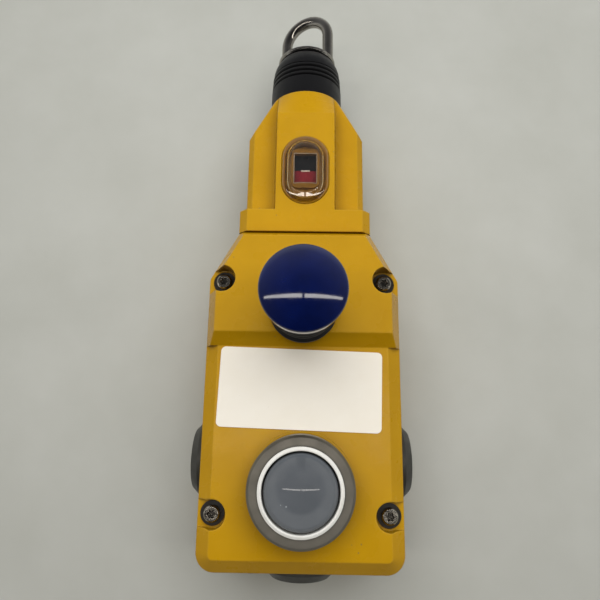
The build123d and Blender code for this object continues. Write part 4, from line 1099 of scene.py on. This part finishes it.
@dataclass
class ResetKnob:
    """Blue mushroom head on its ribbed bellows."""

    x: float = 0.0
    y: float = 36.1
    under: float = 92.0
    rim_low: float = 95.9
    rim_high: float = 99.6
    top: float = 105.0
    radius: float = 16.93
    rim_bead: float = 0.06
    bead_height: float = 0.7
    skirt_inset: float = 3.4
    recess_radius: float = 8.0
    recess_depth: float = 5.0
    socket_radius: float = 3.02
    socket_depth: float = 3.0
    dome_rings: int = 22
    bellows_low: float = 59.0
    bellows_high: float = 91.7
    foot_radius: float = 15.4
    foot_height: float = 2.0
    fold_radius: float = 14.2
    fold_depth: float = 2.8
    folds: int = 6
    outer_steps: Triple = (0.12, 0.48, 0.68)
    inner_steps: tuple[float, float] = (0.15, 0.58)
    wall: float = 1.3
    foot_bore: float = 10.8

    def build(self) -> None:
        """Makes the head and the bellows."""
        self.head()
        self.bellows()

    def head(self) -> None:
        """A dome with a rounded rim, a bead at its foot and an undercut skirt."""
        sagitta = self.top - self.rim_high
        dome = (self.radius**2 + sagitta**2) / (2 * sagitta)
        reach = math.asin(self.radius / dome)
        corners = [(0.0, self.top, 0.0)]
        for ring in range(1, self.dome_rings):
            tilt = reach * ring / self.dome_rings
            height = self.top - dome * (1 - math.cos(tilt))
            corners.append((dome * math.sin(tilt), height, 0.0))
        floor = self.under + self.recess_depth
        corners += [
            (self.radius, self.rim_high, 0.55),
            (self.radius + self.rim_bead, self.rim_low + self.bead_height, 0.0),
            (self.radius + self.rim_bead, self.rim_low, 0.12),
            (self.radius - self.skirt_inset, self.under, 0.4),
            (self.recess_radius, self.under, 0.2),
            (self.recess_radius, floor, 0.3),
            (self.socket_radius, floor, 0.0),
            (self.socket_radius, floor + self.socket_depth, 0.0),
            (0.0, floor + self.socket_depth, 0.0),
        ]
        head = Turning(
            "knob_head", corners, (self.x, self.y, 0), Stand.UPRIGHT, BLUE_KNOB, steps=160
        ).build()
        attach(head, Body.KNOB.value)
        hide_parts("reset_knob")

    def bellows(self) -> None:
        """Rounded folds from the foot on the lid to the head's underside."""
        start = self.bellows_low + self.foot_height
        fold = (self.bellows_high - start) / self.folds
        valley = self.fold_radius - self.fold_depth
        outer = [(self.foot_radius, self.bellows_low, 0.0), (self.foot_radius, start, 0.4)]
        inner = []
        for index in range(self.folds):
            z = start + index * fold
            valley_z, crest_low, crest_high = (z + fold * s for s in self.outer_steps)
            inner_valley, inner_crest = (z + fold * s for s in self.inner_steps)
            outer.append((valley, valley_z, 0.35))
            outer.append((self.fold_radius, crest_low, 0.5))
            outer.append((self.fold_radius, crest_high, 0.5))
            inner.append((valley - self.wall, inner_valley, 0.3))
            inner.append((self.fold_radius - self.wall, inner_crest, 0.3))
        outer.append((valley, self.bellows_high, 0.0))
        inner.append((valley - self.wall, self.bellows_high, 0.0))
        foot = [(self.foot_bore, start, 0.0), (self.foot_bore, self.bellows_low, 0.0)]
        bellows = Turning(
            "knob_bellows_folded",
            outer + inner[::-1] + foot,
            (self.x, self.y, 0),
            Stand.UPRIGHT,
            BLACK_RUBBER,
            steps=96,
            round_segments=3,
        ).build()
        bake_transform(bellows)
        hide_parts("knob_bellows")


@dataclass
class Button:
    """Grey cap, the bright ring round it and the casting's lip round its seat."""

    x: float = 0.0
    y: float = -40.2
    cap_radius: float = 15.0
    cap_top: float = 70.8
    cap_foot: float = 61.8
    cap_wall: float = 2.0
    cap_roof: float = 3.0
    face_steps: tuple[Triple, ...] = (  # inset from the rim, drop below the top, rounding
        (8.15, 0.02, 0.0),
        (2.9, 0.08, 1.2),
        (1.3, 0.1, 0.5),
        (0.25, 0.75, 0.35),
        (0.0, 1.6, 0.3),
    )
    ring_inner: float = 15.8
    ring_outer: float = 17.47
    ring_low: float = 58.0
    ring_top: float = 70.2
    ring_slope: float = 0.45
    lip_radius: float = 22.55
    lip_width: float = 0.55
    lip_low: float = 53.9
    lip_top: float = 54.55

    def build(self) -> None:
        """Makes the cap and the ring."""
        roof = self.cap_top - self.cap_roof
        inner = self.cap_radius - self.cap_wall
        cap = Turning(
            "button_cap_domed",
            [
                (0.0, self.cap_top, 0.0),
                *(
                    (self.cap_radius - inset, self.cap_top - drop, rounding)
                    for inset, drop, rounding in self.face_steps
                ),
                (self.cap_radius, self.cap_foot, 0.0),
                (inner, self.cap_foot, 0.0),
                (inner, roof, 0.4),
                (0.0, roof, 0.0),
            ],
            (self.x, self.y, 0),
            Stand.UPRIGHT,
            GREY_CAP,
        ).build()
        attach(cap, Body.BUTTON.value)
        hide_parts("button_cap")
        ring = Turning(
            "button_ring_bright",
            [
                (self.ring_inner, self.ring_low, 0.0),
                (self.ring_outer, self.ring_low, 0.0),
                (self.ring_outer, self.ring_top - self.ring_slope, 0.15),
                (self.ring_inner + 0.45, self.ring_top, 0.3),
                (self.ring_inner, self.ring_top - 0.25, 0.12),
            ],
            (self.x, self.y, 0),
            Stand.UPRIGHT,
            BRIGHT_RING,
        ).build()
        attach(ring, Body.HOUSING.value)
        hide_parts("button_ring")
        # The lip's pale coat is partly a painted highlight.
        lip = Turning(
            "button_seat_lip",
            [
                (self.lip_radius - self.lip_width / 2, self.lip_low, 0.0),
                (self.lip_radius + self.lip_width / 2, self.lip_low, 0.0),
                (self.lip_radius + self.lip_width / 2, self.lip_top, 0.15),
                (self.lip_radius - self.lip_width / 2, self.lip_top, 0.15),
            ],
            (self.x, self.y, 0),
            Stand.UPRIGHT,
            WORN_LIP_PAINTED_HIGHLIGHT,
        ).build()
        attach(lip, Body.HOUSING.value)


@dataclass
class IndicatorWindow:
    """Clear oval lens, with the sliding flag's printed bar and the line round its opening."""

    x: float = 0.0
    y: float = 108.2
    width: float = 23.3
    length: float = 36.0
    low: float = 49.4
    segments: int = 96
    outer_steps: tuple[tuple[float, float], ...] = (
        (0.0, 0.0),
        (0.0, 2.15),
        (0.12, 2.5),
        (0.4, 3.0),
        (0.85, 3.45),
        (1.45, 3.8),
        (2.9, 4.24),
        (4.3, 4.63),
        (5.6, 4.97),
        (6.5, 5.12),
        (7.5, 5.19),
        (8.6, 5.2),
    )
    inner_steps: tuple[tuple[float, float], ...] = (
        (8.4, 3.75),
        (6.4, 3.7),
        (5.0, 3.5),
        (3.9, 3.1),
        (3.1, 2.5),
        (2.6, 1.7),
        (2.2, 0.0),
    )
    mark_y: float = 111.3
    mark_z: float = 42.8
    mark_width: float = 4.6
    mark_length: float = 0.75
    mark_height: float = 0.06
    mark_corner: float = 0.15
    opening_y: float = 111.2
    opening_width: float = 10.5
    opening_length: float = 15.7
    line_width: float = 0.42
    line_height: float = 0.05

    def lens(self) -> None:
        """Spins the wall's profile, draws the round shell out to an oval and caps it."""
        bm = bmesh.new()
        profile = [
            bm.verts.new(((self.width / 2 - inset) * MM, 0, (self.low + height) * MM))
            for inset, height in self.outer_steps + self.inner_steps
        ]
        cap = len(self.outer_steps) - 1
        for index, (point, after) in enumerate(zip(profile, profile[1:] + profile[:1])):
            if index != cap:
                bm.edges.new((point, after))
        half_step = Matrix.Rotation(math.pi / self.segments, 3, "Z")
        bmesh.ops.rotate(bm, verts=profile, cent=(0, 0, 0), matrix=half_step)
        spin_round(bm, self.segments)
        half = (self.length - self.width) / 2 * MM
        far = [v for v in bm.verts if v.co.y > 0]
        near = [v for v in bm.verts if v.co.y < 0]
        bmesh.ops.translate(bm, verts=far, vec=(0, half, 0))
        bmesh.ops.translate(bm, verts=near, vec=(0, -half, 0))
        bmesh.ops.translate(bm, verts=bm.verts[:], vec=(self.x * MM, self.y * MM, 0))
        bmesh.ops.holes_fill(bm, edges=[e for e in bm.edges if e.is_boundary])
        bmesh.ops.recalc_face_normals(bm, faces=bm.faces[:])
        lens = finish_piece(bm, "window_lens_domed", CLEAR_WINDOW)
        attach(lens, Body.HOUSING.value)
        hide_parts("window_lens")

    def mark(self) -> None:
        """A raised printed bar over the joint of the black and red tiles."""
        bm = bmesh.new()
        bar = bmesh.ops.create_cube(bm, size=1.0)["verts"]
        size = Vector((self.mark_width, self.mark_length, self.mark_height)) * MM
        bmesh.ops.scale(bm, verts=bar, vec=size)
        centre = Vector((self.x, self.mark_y, self.mark_z + self.mark_height / 2)) * MM
        bmesh.ops.translate(bm, verts=bar, vec=centre)
        upright = [e for e in bm.edges if abs(e.verts[0].co.z - e.verts[1].co.z) > WELD]
        bmesh.ops.bevel(
            bm,
            geom=upright,
            affect="EDGES",
            offset=self.mark_corner * MM,
            offset_type="OFFSET",
            segments=3,
            profile=0.5,
            material=-1,
        )
        mark = finish_piece(bm, "flag_printed_bar", MARK_WHITE)
        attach(mark, Body.SHAFT.value)

    def border(self) -> None:
        """A printed line round the frame's opening."""
        width = (self.opening_width + 2 * self.line_width) * MM
        length = (self.opening_length + 2 * self.line_width) * MM
        bm = bmesh.new()
        bmesh.ops.create_grid(bm, x_segments=1, y_segments=1, size=0.5)
        bmesh.ops.scale(bm, verts=bm.verts[:], vec=(width, length, 1))
        bmesh.ops.inset_region(
            bm,
            faces=bm.faces[:],
            thickness=self.line_width * MM,
            use_boundary=True,
            use_even_offset=True,
        )
        inner = [f for f in bm.faces if f.calc_center_median().length < WELD]
        bmesh.ops.delete(bm, geom=inner, context="FACES_ONLY")
        bmesh.ops.solidify(bm, geom=bm.faces[:], thickness=-self.line_height * MM)
        frame_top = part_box("indicator_frame")[1][2]
        rise = frame_top - min(v.co.z for v in bm.verts)
        place = (self.x * MM, self.opening_y * MM, rise)
        bmesh.ops.translate(bm, verts=bm.verts[:], vec=place)
        bmesh.ops.recalc_face_normals(bm, faces=bm.faces[:])
        border = finish_piece(bm, "window_printed_line", LINE_GREY)
        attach(border, Body.HOUSING.value)

    def build(self) -> None:
        """Makes the lens, the printed bar and the printed line."""
        self.lens()
        self.mark()
        self.border()


@dataclass
class Springs:
    """Coil springs, copied from their CAD shape with a finish of their own."""

    def coil(self, node: str, axis: int) -> None:
        """Copies a spring's shape and gives it its finish.

        Args:
            node: The spring's CAD node.
            axis: The axis it works along, 0, 1 or 2.
        """
        bm = bmesh.new()
        bm.from_mesh(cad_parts[node].data)
        spring = finish_piece(bm, f"{node}_coil", SPRING_WIRE)
        low, high = (Vector(corner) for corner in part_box(node))
        start = (low + high) / 2
        end = start.copy()
        start[axis], end[axis] = low[axis], high[axis]
        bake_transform(spring)
        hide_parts(node)

    def build(self) -> None:
        """Makes the three springs."""
        self.coil("tension_spring", 1)
        self.coil("knob_spring", 2)
        self.coil("button_spring", 2)


@dataclass
class Works:
    """Gives the nodes that keep their CAD shape their finishes."""

    def build(self) -> None:
        """Puts each finish on its nodes and checks that none is left out."""
        dressed = set()
        for finish, names in NODE_FINISHES.items():
            for name in names:
                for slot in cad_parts[name].material_slots:
                    slot.material = finish.material()
                dressed.add(name)
        hidden = {name for name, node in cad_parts.items() if node.hide_render}
        left = set(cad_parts) - dressed - hidden
        if left:
            raise ValueError(f"nodes without a finish: {sorted(left)}")


@dataclass
class Studio:
    """Floor, world, lamps and camera."""

    camera_mm: Triple = (0.577, -8.477, 278.63)
    pitch: float = 12.484
    yaw: float = -0.549
    roll: float = 0.751
    focal_px: float = 498.5
    image_px: float = 600.0
    sensor_mm: float = 36.0
    near_mm: float = 5.0
    far_mm: float = 50000.0
    floor_mm: float = 6000.0
    floor_drop: float = 0.1
    tube_height: float = 1050.0
    tube_y: float = -40.0
    tube_length: float = 1900.0
    tube_width: float = 105.0
    tube_gap: float = 62.0
    tube_watts: float = 3.6
    tube_colour: str = "#fffaf2"
    soft_mm: Triple = (30.0, 330.0, 620.0)
    soft_size_mm: tuple[float, float] = (980.0, 520.0)
    soft_watts: float = 4.4

    def build(self) -> None:
        """Sets the whole stage."""
        self.floor()
        self.world()
        self.lamps()
        self.camera()
        bpy.context.scene.view_settings.view_transform = "Standard"

    def floor(self) -> None:
        """A wide pale floor just under the switch."""
        bm = bmesh.new()
        bmesh.ops.create_grid(bm, x_segments=8, y_segments=8, size=self.floor_mm / 2 * MM)
        bmesh.ops.translate(bm, verts=bm.verts[:], vec=(0, 0, -self.floor_drop * MM))
        floor = finish_piece(
            bm,
            "floor",
            Finish(
                "painted_bench_top_pale",
                colour="#c0c1ba",
                shade="#b8b9b1",
                roughness=0.55,
                patch_mm=60.0,
                grain_mm=1.2,
                grain_depth_mm=0.02,
            ),
        )

    def world(self) -> None:
        """Soft room light: dim overhead, where the viewer leans in, and brighter all round
        and at the far side, with a pale backdrop low down that only views, gloss and glass
        show."""
        world = bpy.data.worlds.new("room")
        bpy.context.scene.world = world
        world.use_nodes = True
        tree = world.node_tree
        tree.nodes.clear()
        way = add_node(tree, "ShaderNodeTexCoord")
        parts = add_node(
            tree, "ShaderNodeSeparateXYZ", links={"Vector": way.outputs["Generated"]}
        )
        tone = add_node(
            tree,
            "ShaderNodeValToRGB",
            {"stops": [(0.3, "#7b7c7d"), (0.93, "#434446")]},
            {"Fac": parts.outputs["Z"]},
        )
        side = add_node(
            tree,
            "ShaderNodeMapRange",
            {"From Min": -0.8, "From Max": 0.8, "To Min": 0.12, "To Max": 1.35},
            {"Value": parts.outputs["Y"]},
        )
        light = add_node(
            tree,
            "ShaderNodeBackground",
            links={"Color": tone.outputs["Color"], "Strength": side.outputs["Result"]},
        )
        backdrop = add_node(
            tree, "ShaderNodeBackground", {"Color": linear("#cbccc8"), "Strength": 1.0}
        )
        path = add_node(tree, "ShaderNodeLightPath")
        seen = add_node(
            tree,
            "ShaderNodeMath",
            {"operation": "MAXIMUM"},
            {0: path.outputs["Is Camera Ray"], 1: path.outputs["Is Glossy Ray"]},
        )
        seen_or_through = add_node(
            tree,
            "ShaderNodeMath",
            {"operation": "MAXIMUM"},
            {0: seen.outputs["Value"], 1: path.outputs["Is Transmission Ray"]},
        )
        low_down = add_node(
            tree,
            "ShaderNodeMapRange",
            {"From Min": 0.3, "From Max": 0.1, "To Min": 0.0, "To Max": 1.0},
            {"Value": parts.outputs["Z"]},
        )
        share = add_node(
            tree,
            "ShaderNodeMath",
            {"operation": "MULTIPLY"},
            {0: seen_or_through.outputs["Value"], 1: low_down.outputs["Result"]},
        )
        mixed = add_node(
            tree,
            "ShaderNodeMixShader",
            links={
                0: share.outputs["Value"],
                1: light.outputs["Background"],
                2: backdrop.outputs["Background"],
            },
        )
        add_node(tree, "ShaderNodeOutputWorld", links={"Surface": mixed.outputs["Shader"]})

    def lamps(self) -> None:
        """Two long tubes end to end overhead, and a softbox at the far side."""
        for side in (-1, 1):
            tube = bpy.data.lights.new(f"tube_{side}", "AREA")
            tube.shape = "RECTANGLE"
            tube.size = self.tube_length * MM
            tube.size_y = self.tube_width * MM
            tube.energy = self.tube_watts
            tube.color = linear(self.tube_colour)[:3]
            lamp = bpy.data.objects.new(tube.name, tube)
            x = side * (self.tube_length + self.tube_gap) / 2
            lamp.location = Vector((x, self.tube_y, self.tube_height)) * MM
            bpy.context.scene.collection.objects.link(lamp)
        soft = bpy.data.lights.new("softbox", "AREA")
        soft.shape = "RECTANGLE"
        soft.size, soft.size_y = (side * MM for side in self.soft_size_mm)
        soft.energy = self.soft_watts
        lamp = bpy.data.objects.new(soft.name, soft)
        place = Vector(self.soft_mm) * MM
        turn = place.to_track_quat("Z", "Y").to_matrix().to_4x4()
        lamp.matrix_world = Matrix.Translation(place) @ turn
        lamp.visible_glossy = False
        lamp.visible_transmission = False
        bpy.context.scene.collection.objects.link(lamp)

    def camera(self) -> None:
        """The photograph's viewpoint, as the fit of its known points gave it."""
        pitch, yaw, roll = (math.radians(a) for a in (self.pitch, self.yaw, self.roll))
        forward = Vector(
            (math.sin(yaw), math.sin(pitch) * math.cos(yaw), -math.cos(pitch) * math.cos(yaw))
        )
        right = forward.cross(Vector((0, math.cos(pitch), math.sin(pitch)))).normalized()
        up = right.cross(forward)
        rolled_right = math.cos(roll) * right + math.sin(roll) * up
        rolled_up = math.cos(roll) * up - math.sin(roll) * right
        lens = bpy.data.cameras.new("camera")
        lens.sensor_width = self.sensor_mm
        lens.lens = self.sensor_mm * self.focal_px / self.image_px
        lens.clip_start = self.near_mm * MM
        lens.clip_end = self.far_mm * MM
        camera = bpy.data.objects.new("camera", lens)
        axes = Matrix((rolled_right, rolled_up, -forward)).transposed().to_4x4()
        camera.matrix_world = Matrix.Translation(Vector(self.camera_mm) * MM) @ axes
        bpy.context.scene.collection.objects.link(camera)
        bpy.context.scene.camera = camera


def main() -> None:
    """Builds every sub-assembly in order and reports each."""
    logging.basicConfig(level=logging.INFO, format="%(name)s: %(message)s")
    for part in (
        Studio(),
        ShaftBoot(),
        ResetKnob(),
        Button(),
        IndicatorWindow(),
        Springs(),
        Works(),
    ):
        part.build()
        log.info("built %s", type(part).__name__)


if __name__ == "__main__":
    main()
